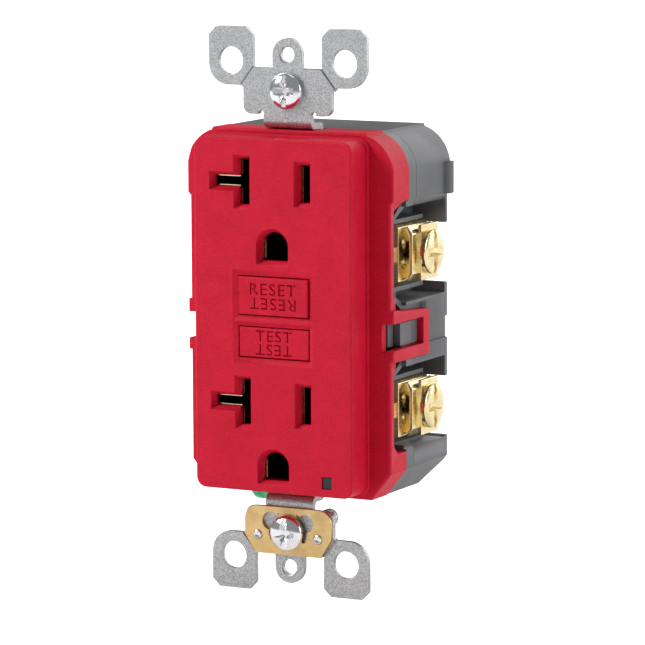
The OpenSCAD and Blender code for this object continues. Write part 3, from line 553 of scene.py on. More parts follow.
@dataclass
class EffectShelf:
    """Builds each shared effect once, as a shader node group."""

    built: dict[Effect, bpy.types.NodeTree] = field(default_factory=dict)

    def group(self, effect: Effect) -> bpy.types.NodeTree:
        """Gives an effect's node group.

        Args:
            effect: Which effect.

        Returns:
            The group.
        """
        if effect not in self.built:
            makers = {
                Effect.GRAIN: self._grain,
                Effect.FLECKS: self._flecks,
                Effect.BRUSHED: self._brushed,
                Effect.MARKS: self._marks,
                Effect.EDGES: self._edges,
            }
            self.built[effect] = makers[effect](effect.value)
        return self.built[effect]

    @staticmethod
    def _start(
        name: str, inputs: dict[str, float], outputs: list[str]
    ) -> tuple[Tree, bpy.types.Node, bpy.types.Node]:
        """Starts a group with its named inputs and outputs.

        Args:
            name: The group's name.
            inputs: Each input's name and usual value.
            outputs: Each output's name.

        Returns:
            The tree, its input node and its output node.
        """
        group = bpy.data.node_groups.new(name, "ShaderNodeTree")
        for key, value in inputs.items():
            socket = group.interface.new_socket(
                name=key, in_out="INPUT", socket_type="NodeSocketFloat"
            )
            socket.default_value = value
        for key in outputs:
            group.interface.new_socket(
                name=key, in_out="OUTPUT", socket_type="NodeSocketFloat"
            )
        tree = Tree(group)
        return tree, tree.add("NodeGroupInput"), tree.add("NodeGroupOutput")

    def _grain(self, name: str) -> bpy.types.NodeTree:
        """Fine spark-eroded grain of a mould, with slow mottling."""
        tree, given, out = self._start(
            name, {"Scale": 4000.0, "Mottle Scale": 160.0}, ["Height", "Mottle"]
        )
        fine = tree.noise(given.outputs["Scale"], 3.0, rough=0.62)
        tree.feed(out, "Height", tree.spread(fine, 0.32, 0.68, 0.0, 1.0))
        slow = tree.noise(given.outputs["Mottle Scale"], 4.0)
        tree.feed(out, "Mottle", tree.spread(slow, 0.3, 0.7, 0.0, 1.0))
        return tree.tree

    def _flecks(self, name: str) -> bpy.types.NodeTree:
        """Crystals of a zinc coat: cells of differing brightness with dark pits."""
        tree, given, out = self._start(
            name, {"Scale": 2600.0}, ["Shade", "Height", "Pits"]
        )
        cells = tree.add(
            "ShaderNodeTexVoronoi",
            {"Vector": tree.place(), "Scale": given.outputs["Scale"]},
        )
        shade = tree.add(
            "ShaderNodeSeparateColor", {"Color": cells.outputs["Color"]}
        ).outputs[0]
        cloud = tree.noise(2400.0, 4.0, rough=0.7)
        crystals = tree.math("MULTIPLY", shade, 0.55)
        clouds = tree.math("MULTIPLY", cloud, 0.45)
        tree.feed(out, "Shade", tree.math("ADD", crystals, clouds))
        tree.feed(out, "Height", cells.outputs["Distance"])
        pits = tree.noise(5200.0, 2.0)
        tree.feed(out, "Pits", tree.spread(pits, 0.56, 0.68, 0.0, 1.0))
        return tree.tree

    def _brushed(self, name: str) -> bpy.types.NodeTree:
        """Fine lines left along X by rolling or brushing."""
        tree, given, out = self._start(name, {"Scale": 1500.0}, ["Lines"])
        stretched = tree.add(
            "ShaderNodeMapping", {"Vector": tree.place(), "Scale": (0.06, 1.0, 1.0)}
        ).outputs[0]
        lines = tree.noise(given.outputs["Scale"], 5.0, stretched)
        tree.feed(out, "Lines", tree.spread(lines, 0.3, 0.7, 0.0, 1.0))
        return tree.tree

    def _marks(self, name: str) -> bpy.types.NodeTree:
        """Smudges and small scuffs from handling."""
        tree, given, out = self._start(name, {"Scale": 220.0}, ["Smudge", "Scuff"])
        slow = tree.noise(given.outputs["Scale"], 5.0)
        tree.feed(out, "Smudge", tree.spread(slow, 0.35, 0.7, 0.0, 1.0))
        fine = tree.noise(tree.math("MULTIPLY", given.outputs["Scale"], 9.0), 2.0)
        tree.feed(out, "Scuff", tree.spread(fine, 0.6, 0.72, 0.0, 1.0))
        return tree.tree

    def _edges(self, name: str) -> bpy.types.NodeTree:
        """Mask of the outer edges, where a surface is rubbed bright."""
        tree, given, out = self._start(name, {"Width": 0.0002}, ["Mask"])
        rounded = tree.add("ShaderNodeBevel", {"Radius": given.outputs["Width"]}, samples=4)
        facing = tree.add("ShaderNodeNewGeometry").outputs["Normal"]
        same = tree.add("ShaderNodeVectorMath", operation="DOT_PRODUCT")
        tree.feed(same, 0, rounded.outputs[0])
        tree.feed(same, 1, facing)
        tree.feed(out, "Mask", tree.spread(same.outputs["Value"], 0.98, 0.8, 0.0, 1.0))
        return tree.tree


SHELF = EffectShelf()


class Bench(Tree):
    """A material's node tree, with its one shader."""

    def __init__(self, name: str, values: dict[str, object]) -> None:
        """Starts a material.

        Args:
            name: The material's name.
            values: Plain values of the shader's inputs.
        """
        self.material = bpy.data.materials.new(name)
        self.material.use_nodes = True
        super().__init__(self.material.node_tree)
        self.tree.nodes.clear()
        self.shader = self.add("ShaderNodeBsdfPrincipled", values)
        output = self.add("ShaderNodeOutputMaterial")
        self.tree.links.new(self.shader.outputs[0], output.inputs[0])

    def effect(self, effect: Effect, **values: object) -> bpy.types.Node:
        """Places a shared effect in the material.

        Args:
            effect: Which effect.
            **values: Its inputs; an underscore stands for a space.

        Returns:
            The group's node.
        """
        node = self.add("ShaderNodeGroup", node_tree=SHELF.group(effect))
        for key, value in values.items():
            self.feed(node, key.replace("_", " "), value)
        return node

    def relief(self, height: object, depth: float, strength: float = 1.0) -> None:
        """Feeds a height to the shader as relief.

        Args:
            height: The height, from 0 to 1.
            depth: What 1 stands for, in metres.
            strength: How much of the relief shows.
        """
        values = {"Height": height, "Distance": depth, "Strength": strength}
        bump = self.add("ShaderNodeBump", values)
        self.feed(self.shader, "Normal", bump.outputs[0])


def rgba(colour: Colour) -> tuple[float, float, float, float]:
    """Adds a full alpha to a colour."""
    return (*colour, 1.0)


@dataclass(frozen=True)
class MouldedPlastic:
    """Moulded plastic with a fine grain.

    Attributes:
        name: The material's name.
        colour: Its colour.
        deep: The colour in its mottling.
        roughness: Roughness of the flats.
        grain: Grains in a metre.
        depth: Depth of the grain, in metres.
        specular: Strength of the mirror part.
        sheen: Strength of the soft sheen at a glancing angle.
    """

    name: str
    colour: Colour
    deep: Colour
    roughness: float = 0.42
    grain: float = 4200.0
    depth: float = 0.00002
    specular: float = 0.5
    sheen: float = 0.0

    def build(self) -> bpy.types.Material:
        """Builds the material."""
        bench = Bench(
            self.name,
            {
                "Specular IOR Level": self.specular,
                "IOR": 1.5,
                "Sheen Weight": self.sheen,
                "Sheen Roughness": 0.35,
            },
        )
        grain = bench.effect(Effect.GRAIN, Scale=self.grain)
        marks = bench.effect(Effect.MARKS, Scale=150.0)
        mottle = bench.spread(grain.outputs["Mottle"], 0.0, 1.0, 0.0, 0.55)
        fleck = bench.spread(grain.outputs["Height"], 0.0, 1.0, 0.0, 0.35)
        colour = bench.mix(
            bench.math("ADD", mottle, fleck), rgba(self.colour), rgba(self.deep)
        )
        bench.feed(bench.shader, "Base Color", colour)
        bench.feed(
            bench.shader,
            "Roughness",
            bench.spread(
                marks.outputs["Smudge"], 0, 1, self.roughness - 0.04, self.roughness + 0.07
            ),
        )
        bench.relief(grain.outputs["Height"], self.depth)
        return bench.material


@dataclass(frozen=True)
class ZincPlate:
    """Steel with a dull zinc coat: grey, speckled, rubbed bright at its edges.

    Attributes:
        name: The material's name.
        light: Colour of the brightest crystals.
        dark: Colour of the dullest crystals.
        pit: Colour of the pits.
        rubbed: Colour of the rubbed edges.
    """

    name: str = "galvanised_steel"
    light: Colour = (0.78, 0.79, 0.80)
    dark: Colour = (0.20, 0.21, 0.22)
    pit: Colour = (0.2, 0.2, 0.21)
    rubbed: Colour = (0.8, 0.8, 0.81)

    def build(self) -> bpy.types.Material:
        """Builds the material."""
        bench = Bench(self.name, {"Metallic": 0.85, "Specular IOR Level": 0.5})
        flecks = bench.effect(Effect.FLECKS, Scale=5600.0)
        edges = bench.effect(Effect.EDGES, Width=0.00015)
        base = bench.mix(flecks.outputs["Shade"], rgba(self.dark), rgba(self.light))
        pitted = bench.mix(
            bench.math("MULTIPLY", flecks.outputs["Pits"], 0.45),
            base,
            rgba(self.pit),
        )
        worn = bench.mix(
            bench.math("MULTIPLY", edges.outputs["Mask"], 0.5),
            pitted,
            rgba(self.rubbed),
        )
        bench.feed(bench.shader, "Base Color", worn)
        bench.feed(
            bench.shader,
            "Roughness",
            bench.spread(flecks.outputs["Shade"], 0, 1, 0.52, 0.34),
        )
        bench.relief(flecks.outputs["Height"], 0.00003, 0.5)
        return bench.material


@dataclass(frozen=True)
class BrightPlate:
    """Bright plated metal, nearly a mirror.

    Attributes:
        name: The material's name.
        colour: Colour of the metal.
        stained: Colour where it is tarnished.
        roughness: Roughness where it is clean.
        lines: Lines in a metre of its rolled or turned marks.
        ripple: Depth of those marks, in metres.
        stain: How much the tarnish shows.
    """

    name: str
    colour: Colour
    stained: Colour
    roughness: float = 0.12
    lines: float = 1400.0
    ripple: float = 0.000004
    stain: float = 0.4

    def build(self) -> bpy.types.Material:
        """Builds the material."""
        bench = Bench(self.name, {"Metallic": 1.0})
        lines = bench.effect(Effect.BRUSHED, Scale=self.lines)
        marks = bench.effect(Effect.MARKS, Scale=420.0)
        edges = bench.effect(Effect.EDGES, Width=0.00012)
        share = bench.math("MULTIPLY", marks.outputs["Smudge"], self.stain)
        colour = bench.mix(share, rgba(self.colour), rgba(self.stained))
        bright = bench.mix(
            bench.math("MULTIPLY", edges.outputs["Mask"], 0.35),
            colour,
            rgba(tuple(min(1.0, c * 1.25) for c in self.colour)),
        )
        bench.feed(bench.shader, "Base Color", bright)
        rough = bench.spread(
            marks.outputs["Smudge"], 0, 1, self.roughness, self.roughness + 0.14
        )
        bench.feed(
            bench.shader,
            "Roughness",
            bench.math("ADD", rough, bench.math("MULTIPLY", marks.outputs["Scuff"], 0.12)),
        )
        bench.relief(lines.outputs["Lines"], self.ripple)
        return bench.material


@dataclass(frozen=True)
class SmokedLens:
    """Dark clear plastic of the indicator window."""

    name: str = "smoked_lens"

    def build(self) -> bpy.types.Material:
        """Builds the material."""
        bench = Bench(
            self.name,
            {"Specular IOR Level": 0.35, "Coat Weight": 0.2, "Coat Roughness": 0.1},
        )
        marks = bench.effect(Effect.MARKS, Scale=900.0)
        colour = bench.mix(
            marks.outputs["Smudge"], rgba((0.008, 0.008, 0.01)), rgba((0.018, 0.018, 0.022))
        )
        bench.feed(bench.shader, "Base Color", colour)
        bench.feed(
            bench.shader, "Roughness", bench.spread(marks.outputs["Smudge"], 0, 1, 0.15, 0.3)
        )
        return bench.material


@dataclass(frozen=True)
class WoundWire:
    """Enamelled copper wire laid in neat turns, with painted shade in the grooves between
    them.

    Attributes:
        name: The material's name.
        direction: Axis that the turns follow one another along.
        pitch: Turns in a metre.
    """

    name: str
    direction: str = "Z"
    pitch: float = 700.0

    def build(self) -> bpy.types.Material:
        """Builds the material."""
        bench = Bench(self.name, {"Metallic": 0.9, "Coat Weight": 0.5, "Coat Roughness": 0.2})
        turns = bench.add(
            "ShaderNodeTexWave",
            {"Vector": bench.place(), "Scale": self.pitch, "Distortion": 0.6},
            bands_direction=self.direction,
        ).outputs["Fac"]
        # The dark end of each band is painted shade in the groove between two turns; the
        # bright end is the wire's own copper.
        colour = bench.mix(turns, rgba((0.18, 0.06, 0.02)), rgba((0.62, 0.28, 0.10)))
        bench.feed(bench.shader, "Base Color", colour)
        bench.feed(bench.shader, "Roughness", bench.spread(turns, 0, 1, 0.5, 0.28))
        bench.relief(turns, 0.0001)
        return bench.material


@dataclass(frozen=True)
class SolderMask:
    """Green board with fine copper tracks under its lacquer."""

    name: str = "board_lacquer"

    def build(self) -> bpy.types.Material:
        """Builds the material."""
        bench = Bench(self.name, {"Specular IOR Level": 0.5})
        tracks = bench.add(
            "ShaderNodeTexBrick",
            {"Vector": bench.place(), "Scale": 260.0, "Mortar Size": 0.06},
        ).outputs["Fac"]
        colour = bench.mix(tracks, rgba((0.012, 0.10, 0.045)), rgba((0.05, 0.24, 0.11)))
        bench.feed(bench.shader, "Base Color", colour)
        bench.feed(bench.shader, "Roughness", bench.spread(tracks, 0, 1, 0.32, 0.26))
        bench.relief(tracks, 0.00003)
        return bench.material


BUILT: dict[str, bpy.types.Material] = {}


class Finish(Enum):
    """Every finish of the receptacle, each built when it is first used."""

    RED = MouldedPlastic(
        "crimson_plastic",
        colour=(0.66, 0.003, 0.034),
        deep=(0.5, 0.001, 0.018),
        roughness=0.46,
        grain=3600.0,
        depth=0.00006,
        specular=0.2,
    )
    GREY = MouldedPlastic(
        "grey_plastic", (0.105, 0.108, 0.115), (0.08, 0.082, 0.088), 0.4, 3200.0, 0.000012
    )
    BLACK = MouldedPlastic(
        "black_plastic", (0.025, 0.025, 0.028), (0.015, 0.015, 0.017), 0.45
    )
    BLUE = MouldedPlastic(
        "blue_coating", (0.03, 0.12, 0.42), (0.02, 0.08, 0.3), 0.25, 900.0, 0.00003
    )
    SLEEVE = MouldedPlastic(
        "capacitor_sleeve", (0.02, 0.02, 0.035), (0.01, 0.01, 0.02), 0.3, 700.0, 0.00002
    )
    TAN = MouldedPlastic(
        "resistor_lacquer", (0.55, 0.42, 0.24), (0.45, 0.33, 0.18), 0.3, 900.0, 0.00002
    )
    CLEAR = MouldedPlastic(
        "indicator_body", (0.5, 0.75, 0.5), (0.4, 0.65, 0.42), 0.12, 600.0, 0.00001
    )
    ZINC = ZincPlate()
    CHROME = BrightPlate(
        "bright_zinc", (0.86, 0.87, 0.89), (0.7, 0.71, 0.74), 0.08, 900.0, 0.000003, 0.3
    )
    ROLLED_BRASS = BrightPlate(
        "rolled_brass", (0.80, 0.58, 0.27), (0.62, 0.42, 0.18), 0.36, 1800.0, 0.00001, 0.6
    )
    BRIGHT_BRASS = BrightPlate(
        "bright_brass", (0.93, 0.80, 0.48), (0.72, 0.55, 0.25), 0.14, 1200.0, 0.00001, 0.6
    )
    NICKEL = BrightPlate(
        "bright_nickel", (0.82, 0.81, 0.77), (0.66, 0.64, 0.58), 0.16, 1200.0, 0.00001, 0.5
    )
    GREEN = BrightPlate(
        "green_plating", (0.05, 0.42, 0.20), (0.03, 0.26, 0.13), 0.25, 1200.0, 0.00001, 0.5
    )
    COPPER = BrightPlate(
        "bare_copper", (0.80, 0.42, 0.24), (0.5, 0.24, 0.12), 0.3, 1500.0, 0.00001, 0.6
    )
    LENS = SmokedLens()
    BOARD = SolderMask()
    COIL = WoundWire("coil_wire", "Z", 480.0)
    CORES = WoundWire("core_wire", "X", 420.0)

    @property
    def material(self) -> bpy.types.Material:
        """Gives the finish's material."""
        if self.name not in BUILT:
            BUILT[self.name] = self.value.build()
        return BUILT[self.name]


# ------------------------------------------------------------------ receptacle


@dataclass
class Cover:
    """The red cover with its raised face, side tabs and indicator window.

    Attributes:
        face_w: Width of the raised face.
        face_h: Height of the raised face.
        rim_round: Rounding round the raised face.
        flange_round: Rounding round the flange.
        mouth_round: Rounding at the mouths of the slots.
        frame_w: Half width of the bevelled frame round the buttons, at the face.
        frame_wide: How far the frame's bevel reaches inwards.
        frame_deep: Depth of the frame.
        corner: Size of the rounded corners of the raised face.
        flange_y: Y of the front of the flange.
        flange_x: Half width beyond which a point is at the flange's edge.
        flange_z: Half height beyond which a point is at the flange's edge.
        flange_slope: Slope of the flange's cut corners.
        flange_reach: Reach beyond which a point is at a cut corner.
        bead_y: Y of the front of the bead round the raised face.
        bead_round: Rounding of the bead.
    """

    face_w: float = 33.0
    face_h: float = 66.4
    rim_round: float = 0.4
    flange_round: float = 0.45
    mouth_round: float = 0.12
    frame_w: float = 8.35
    frame_wide: float = 0.72
    frame_deep: float = 0.6
    corner: float = 2.1
    flange_y: float = 0.5
    flange_x: float = 20.9
    flange_z: float = 34.2
    flange_slope: float = 0.62
    flange_reach: float = 45.2
    bead_y: float = -0.3
    bead_round: float = 0.28

    def on_face(self, start: Vector, end: Vector) -> bool:
        """Tells whether an edge lies in the plane of the raised face."""
        return level(start, end, node_box("front_cover")[0].y)

    def at_rim(self, point: Vector) -> bool:
        """Tells whether a point stands at the outline of the raised face."""
        x, z = abs(point.x), abs(point.z)
        side, end = self.face_w / 2, self.face_h / 2
        at_side, at_end = x > side - 0.05, z > end - 0.05
        return at_side or at_end or (x > side - self.corner and z > end - self.corner)

    def at_flange(self, point: Vector) -> bool:
        """Tells whether a point stands at the outline of the flange."""
        x, z = abs(point.x), abs(point.z)
        cut = x * self.flange_slope + z > self.flange_reach
        return x > self.flange_x or z > self.flange_z or cut

    def shell(self) -> None:
        """Builds the cover with its edges rounded."""
        bm = carve(cad_copy("front_cover"), [self.button_frame()])
        rules = [
            EdgeRule(
                self.rim_round,
                lambda a, b: self.on_face(a, b) and self.at_rim(a) and self.at_rim(b),
                5,
            ),
            EdgeRule(self.bead_round, lambda a, b: level(a, b, self.bead_y), 3),
            EdgeRule(
                self.flange_round,
                lambda a, b: level(a, b, self.flange_y)
                and self.at_flange(a)
                and self.at_flange(b),
                4,
            ),
            EdgeRule(
                self.mouth_round,
                lambda a, b: self.on_face(a, b) and not (self.at_rim(a) and self.at_rim(b)),
                2,
            ),
        ]
        for rule in rules:
            rule.apply(bm)
        join_into(bm, self.button_ridge())
        finish_piece(bm, "cover", Finish.RED, ["front_cover"])

    def button_frame(self) -> BMesh:
        """Makes the shape of the bevelled frame sunk round the two buttons.

        Returns:
            The closed shape, a little proud of the face.
        """
        face_y = node_box("front_cover")[0].y
        foot, top = node_box("test_button")[0].z, node_box("reset_button")[1].z
        half = (top - foot) / 2 + 0.95
        proud = 0.2
        slope = self.frame_wide / self.frame_deep
        outer = Vector((self.frame_w + proud * slope, 0, half + proud * slope))
        inner = Vector((self.frame_w - self.frame_wide, 0, half - self.frame_wide))
        shape = tapered_block(outer, inner, face_y - proud, face_y + self.frame_deep)
        return moved(shape, Matrix.Translation((0, 0, (foot + top) / 2)))

    def button_ridge(self) -> BMesh:
        """Makes the ridge that parts the two buttons.

        Returns:
            The closed ridge, just under the level of the face.
        """
        face_y = node_box("front_cover")[0].y
        above, below = node_box("reset_button")[0].z, node_box("test_button")[1].z
        crest = Vector((self.frame_w - 0.1, 0, 0.18))
        foot = Vector((self.frame_w - 0.1, 0, (above - below) / 2 - 0.05))
        shape = tapered_block(crest, foot, face_y + 0.08, face_y + self.frame_deep + 0.05)
        return moved(shape, Matrix.Translation((0, 0, (above + below) / 2)))

    def window(self) -> None:
        """Builds the indicator window."""
        bm = cad_copy("indicator_lens")
        front = node_box("indicator_lens")[0].y
        EdgeRule(0.12, lambda a, b: a.y < front + 0.05 and b.y < front + 0.05, 2).apply(bm)
        finish_piece(bm, "indicator_window", Finish.LENS, ["indicator_lens"])

    def build(self) -> None:
        """Builds the cover's pieces."""
        self.shell()
        self.window()


@dataclass
class PushButton:
    """One push button, with its word engraved upright and inverted.

    Attributes:
        node: The CAD node it stands for.
        label: The word.
        word_w: Width of the word.
        word_h: Height of the word.
        offset: Distance of each word from the middle.
        depth: Depth of the engraving.
    """

    node: str
    label: str
    word_w: float
    word_h: float = 2.2
    offset: float = 1.36
    depth: float = 0.36

    def build(self, finish: Finish) -> None:
        """Builds the button.

        Args:
            finish: Its finish.
        """
        low, high = node_box(self.node)
        bm = cad_copy(self.node)
        EdgeRule(0.22, lambda a, b: a.y < low.y + 0.03 and b.y < low.y + 0.03, 3).apply(bm)
        middle = Vector((0, low.y, (low.z + high.z) / 2))
        cutters = []
        for turn, side in ((0.0, 1), (math.pi, -1)):
            place = Matrix.Translation(middle + Vector((0, 0, side * self.offset)))
            letters = word(self.label, self.word_w, self.word_h, 2 * self.depth)
            cutters.append(moved(letters, place @ Matrix.Rotation(turn, 4, "Y")))
        bm = carve(bm, cutters)
        finish_piece(bm, f"{self.node}_cap", finish, [self.node])


@dataclass
class Housing:
    """The grey middle frame and rear housing."""

    edge_round: float = 0.25

    def build(self) -> None:
        """Builds the two mouldings, with the back's outer edges rounded."""
        finish_piece(
            cad_copy("middle_frame"), "frame_moulding", Finish.GREY, ["middle_frame"]
        )
        back = node_box("rear_housing")[1].y - NEAR
        bm = cad_copy("rear_housing")
        EdgeRule(self.edge_round, lambda a, b: a.y > back and b.y > back, 3).apply(bm)
        finish_piece(bm, "rear_moulding", Finish.GREY, ["rear_housing"])


@dataclass
class DriveHead:
    """Sizes of a screw head with a combined slot and cross recess.

    Attributes:
        radius: Radius of the head.
        height: Height of the head.
        rim: Height of its straight rim.
        slot_w: Width of the slot.
        slot_depth: Depth of the slot.
        cross: Half length of the cross at the surface.
        cross_depth: Depth of the cross.
        arm: Half width of the arms of the cross.
    """

    radius: float
    height: float
    rim: float
    slot_w: float = 0.9
    slot_depth: float = 0.75
    cross: float = 2.7
    cross_depth: float = 1.5
    arm: float = 0.8

    def build(self) -> BMesh:
        """Builds the head, which faces -Y with its underside at y = 0.

        Returns:
            The closed head.
        """
        top = -self.height
        round_edge = 0.18
        profile = [(0.0, top)]
        for i in range(1, 13):
            angle = math.radians(90 * i / 12)
            profile.append(
                (
                    (self.radius - 0.02) * math.sin(angle),
                    top + (self.height - self.rim) * (1 - math.cos(angle)),
                )
            )
        profile += [
            (self.radius, top + self.height - self.rim + round_edge * 0.5),
            (self.radius, -round_edge),
            (self.radius - round_edge, 0.0),
            (0.0, 0.0),
        ]
        bm = lathe(profile, 64)
        above = top - 0.5
        long = Vector((self.slot_w / 2, 0, self.radius + 1))
        cutters = [tapered_block(long, long, above, top + self.slot_depth)]
        foot_long, foot_arm = 0.6, 0.32
        for wide, narrow in (
            (Vector((self.cross, 0, self.arm)), Vector((foot_long, 0, foot_arm))),
            (Vector((self.arm, 0, self.cross)), Vector((foot_arm, 0, foot_long))),
        ):
            cutters.append(tapered_block(wide, narrow, top - 0.02, top + self.cross_depth))
        return carve(bm, cutters)


@dataclass
class ThreadedScrew:
    """One screw: its head, its core and the thread wound round it.

    Attributes:
        node: The CAD node it stands for.
        name: The piece's name.
        head: Sizes of the head.
        outer: Radius of the thread.
        pitch: Pitch of the thread.
        facing: Turn that brings the head's -Y to where it faces.
        length: Length under the head.
        place: Where the underside of the head stands.
        plain: Length of plain neck before the thread.
    """

    node: str
    name: str
    head: DriveHead
    outer: float
    pitch: float
    facing: Matrix
    length: float
    place: Vector
    plain: float = 0.55

    def build(self, finish: Finish) -> None:
        """Builds the screw.

        Args:
            finish: Its finish.
        """
        core = self.outer * 0.76
        sunk = 0.3
        chamfer = 0.6
        tip = self.length - 0.05
        shank = [
            (0, -sunk),
            (core, -sunk),
            (core, tip - chamfer),
            (core - 0.55, tip),
            (0, tip),
        ]
        last_turn = tip - chamfer - 0.15
        bm = self.head.build()
        join_into(bm, lathe(shank, 32))
        join_into(
            bm,
            thread_ridge(self.outer - 0.01, core - 0.06, self.pitch, self.plain, last_turn),
        )
        moved(bm, Matrix.Translation(self.place) @ self.facing)
        finish_piece(bm, self.name, finish, [self.node])


@dataclass
class Yoke:
    """The mounting yoke with its clip, rivets, washers and screws."""

    pitch: float = 0.794

    def strap(self) -> None:
        """Builds the stamped strap with its edges broken."""
        bm = cad_copy("mounting_yoke")
        EdgeRule(
            0.12,
            lambda a, b: abs(a.z) > 36.9 and abs(b.z) > 36.9 and abs(a.y - b.y) < 0.02,
            2,
            50.0,
        ).apply(bm)
        finish_piece(bm, "yoke_strap", Finish.ZINC, ["mounting_yoke"])

    def clip(self) -> None:
        """Builds the brass clip."""
        bm = cad_copy("grounding_clip")
        EdgeRule(0.1, lambda a, b: abs(a.y - b.y) < 0.02, 2, 50.0).apply(bm)
        finish_piece(bm, "ground_clip", Finish.ROLLED_BRASS, ["grounding_clip"])

    def rivets(self) -> None:
        """Builds the two rivets with their struck heads."""
        low, high = node_box("clip_rivets")
        radius = high.z - (low.z + high.z) / 2
        at_x = high.x - radius
        top = low.y
        bm = bmesh.new()
        for side in (-1, 1):
            profile = [
                (0, top + 0.16),
                (0.25, top + 0.14),
                (0.5, top + 0.03),
                (0.66, top),
                (0.78, top + 0.06),
                (radius - 0.04, top + 0.2),
                (radius - 0.04, high.y),
                (0, high.y),
            ]
            rivet = lathe(profile, 32)
            cuts = []
            for turn in (20, 140, 260):
                notch = tapered_block(
                    Vector((0.11, 0, 0.34)), Vector((0.05, 0, 0.2)), top - 0.1, top + 0.22
                )
                moved(notch, Matrix.Translation((0, 0, 0.42)))
                cuts.append(moved(notch, Matrix.Rotation(math.radians(turn), 4, "Y")))
            rivet = carve(rivet, cuts)
            moved(rivet, Matrix.Translation((side * at_x, 0, (low.z + high.z) / 2)))
            join_into(bm, rivet)
        finish_piece(bm, "clip_rivet_heads", Finish.CHROME, ["clip_rivets"])

    def box_screws(self) -> None:
        """Builds the two screws that hold the yoke to its box."""
        for end in ("upper", "lower"):
            node = f"box_screw_{end}"
            low, high = node_box(node)
            radius = (high.x - low.x) / 2
            head = DriveHead(radius, 2.1, 0.55)
            under = low.y + head.height
            ThreadedScrew(
                node,
                f"box_screw_{end}_threaded",
                head,
                1.75,
                self.pitch,
                Matrix.Identity(4),
                high.y - under,
                Vector((0, under, (low.z + high.z) / 2)),
                3.4,
            ).build(Finish.CHROME)

    def ground_screw(self) -> None:
        """Builds the green screw for the ground wire."""
        low, high = node_box("ground_screw")
        head = DriveHead((high.z - low.z) / 2, 2.8, 1.4)
        under = low.x + head.height
        ThreadedScrew(
            "ground_screw",
            "ground_screw_threaded",
            head,
            2.05,
            self.pitch,
            Matrix.Rotation(math.radians(-90), 4, "Z"),
            high.x - under,
            Vector((under, (low.y + high.y) / 2, (low.z + high.z) / 2)),
        ).build(Finish.GREEN)

    def build(self) -> None:
        """Builds the yoke's pieces."""
        self.strap()
        self.clip()
        self.rivets()
        self.box_screws()
        self.ground_screw()
        dress_node("screw_retainers", Finish.BLACK)


@dataclass
class Terminal:
    """One of the four wire terminals: plate, clamp and screw.

    Attributes:
        row: upper or lower.
        side: hot or neutral.
        finish: Its finish.
        pitch: Pitch of the screw's thread.
    """

    row: str
    side: str
    finish: Finish
    pitch: float = 0.794

    def flat_parts(self) -> None:
        """Builds the plate and the clamp with their edges broken."""
        for kind, radius in (("terminal_plate", 0.12), ("wire_clamp", 0.14)):
            node = f"{kind}_{self.row}_{self.side}"
            bm = cad_copy(node)
            EdgeRule(radius, anywhere, 2, 25.0).apply(bm)
            finish_piece(bm, f"{node}_formed", self.finish, [node])

    def screw(self) -> None:
        """Builds the terminal's screw."""
        node = f"terminal_screw_{self.row}_{self.side}"
        low, high = node_box(node)
        head = DriveHead(
            radius=(high.z - low.z) / 2,
            height=1.5,
            rim=1.0,
            slot_w=1.05,
            slot_depth=0.8,
            cross=3.3,
            cross_depth=1.1,
            arm=0.85,
        )
        out = 1 if self.side == "hot" else -1
        tip = high.x if out > 0 else low.x
        root = low.x if out > 0 else high.x
        under = tip - out * head.height
        ThreadedScrew(
            node,
            f"{node}_threaded",
            head,
            2.05,
            self.pitch,
            Matrix.Rotation(math.radians(90 * out), 4, "Z"),
            abs(under - root),
            Vector((under, (low.y + high.y) / 2, (low.z + high.z) / 2)),
        ).build(self.finish)

    def build(self) -> None:
        """Builds the terminal's pieces."""
        self.flat_parts()
        self.screw()


class Works:
    """The contacts and the ground-fault works inside, kept as the frame has them."""

    def build(self) -> None:
        """Gives each inner part its finish."""
        dressed = {
            Finish.BRIGHT_BRASS: (
                "hot_contact_strip",
                "neutral_contact_strip",
                "ground_contact_upper",
                "ground_contact_lower",
                "arm_posts",
            ),
            Finish.CHROME: (
                "reset_plunger",
                "reset_spring",
                "armature_spring",
                "solenoid_armature",
            ),
            Finish.ZINC: ("solenoid_frame", "latch_plate"),
            Finish.COPPER: (
                "test_leaf",
                "hot_contact_arm",
                "neutral_contact_arm",
                "hot_line_conductor",
            ),
            Finish.NICKEL: ("neutral_line_conductor",),
            Finish.COIL: ("solenoid_coil",),
            Finish.CORES: ("fault_core", "neutral_core"),
            Finish.BLACK: ("solenoid_bobbin", "core_case", "latch_block", "control_chip"),
            Finish.BOARD: ("circuit_board",),
            Finish.BLUE: ("surge_suppressor",),
            Finish.SLEEVE: ("capacitor",),
            Finish.TAN: ("test_resistor",),
            Finish.CLEAR: ("indicator_led",),
        }
        for finish, nodes in dressed.items():
            for node in nodes:
                dress_node(node, finish)


# ------------------------------------------------------------------ studio


@dataclass
class SoftLight:
    """One soft light: where it stands, how wide it is and how strong."""

    name: str
    place: Colour
    width: float
    watts: float
    colour: Colour = (1.0, 1.0, 1.0)

    def build(self, target: Vector) -> None:
        """Builds the light.

        Args:
            target: The point it shines at, in metres.
        """
        data = bpy.data.lights.new(self.name, "AREA")
        data.shape = "SQUARE"
        data.size = self.width
        data.energy = self.watts
        data.color = self.colour
        lamp = bpy.data.objects.new(self.name, data)
        lamp.location = self.place
        lamp.visible_camera = False
        towards = target - Vector(self.place)
        lamp.rotation_euler = towards.to_track_quat("-Z", "Y").to_euler()
        bpy.context.scene.collection.objects.link(lamp)


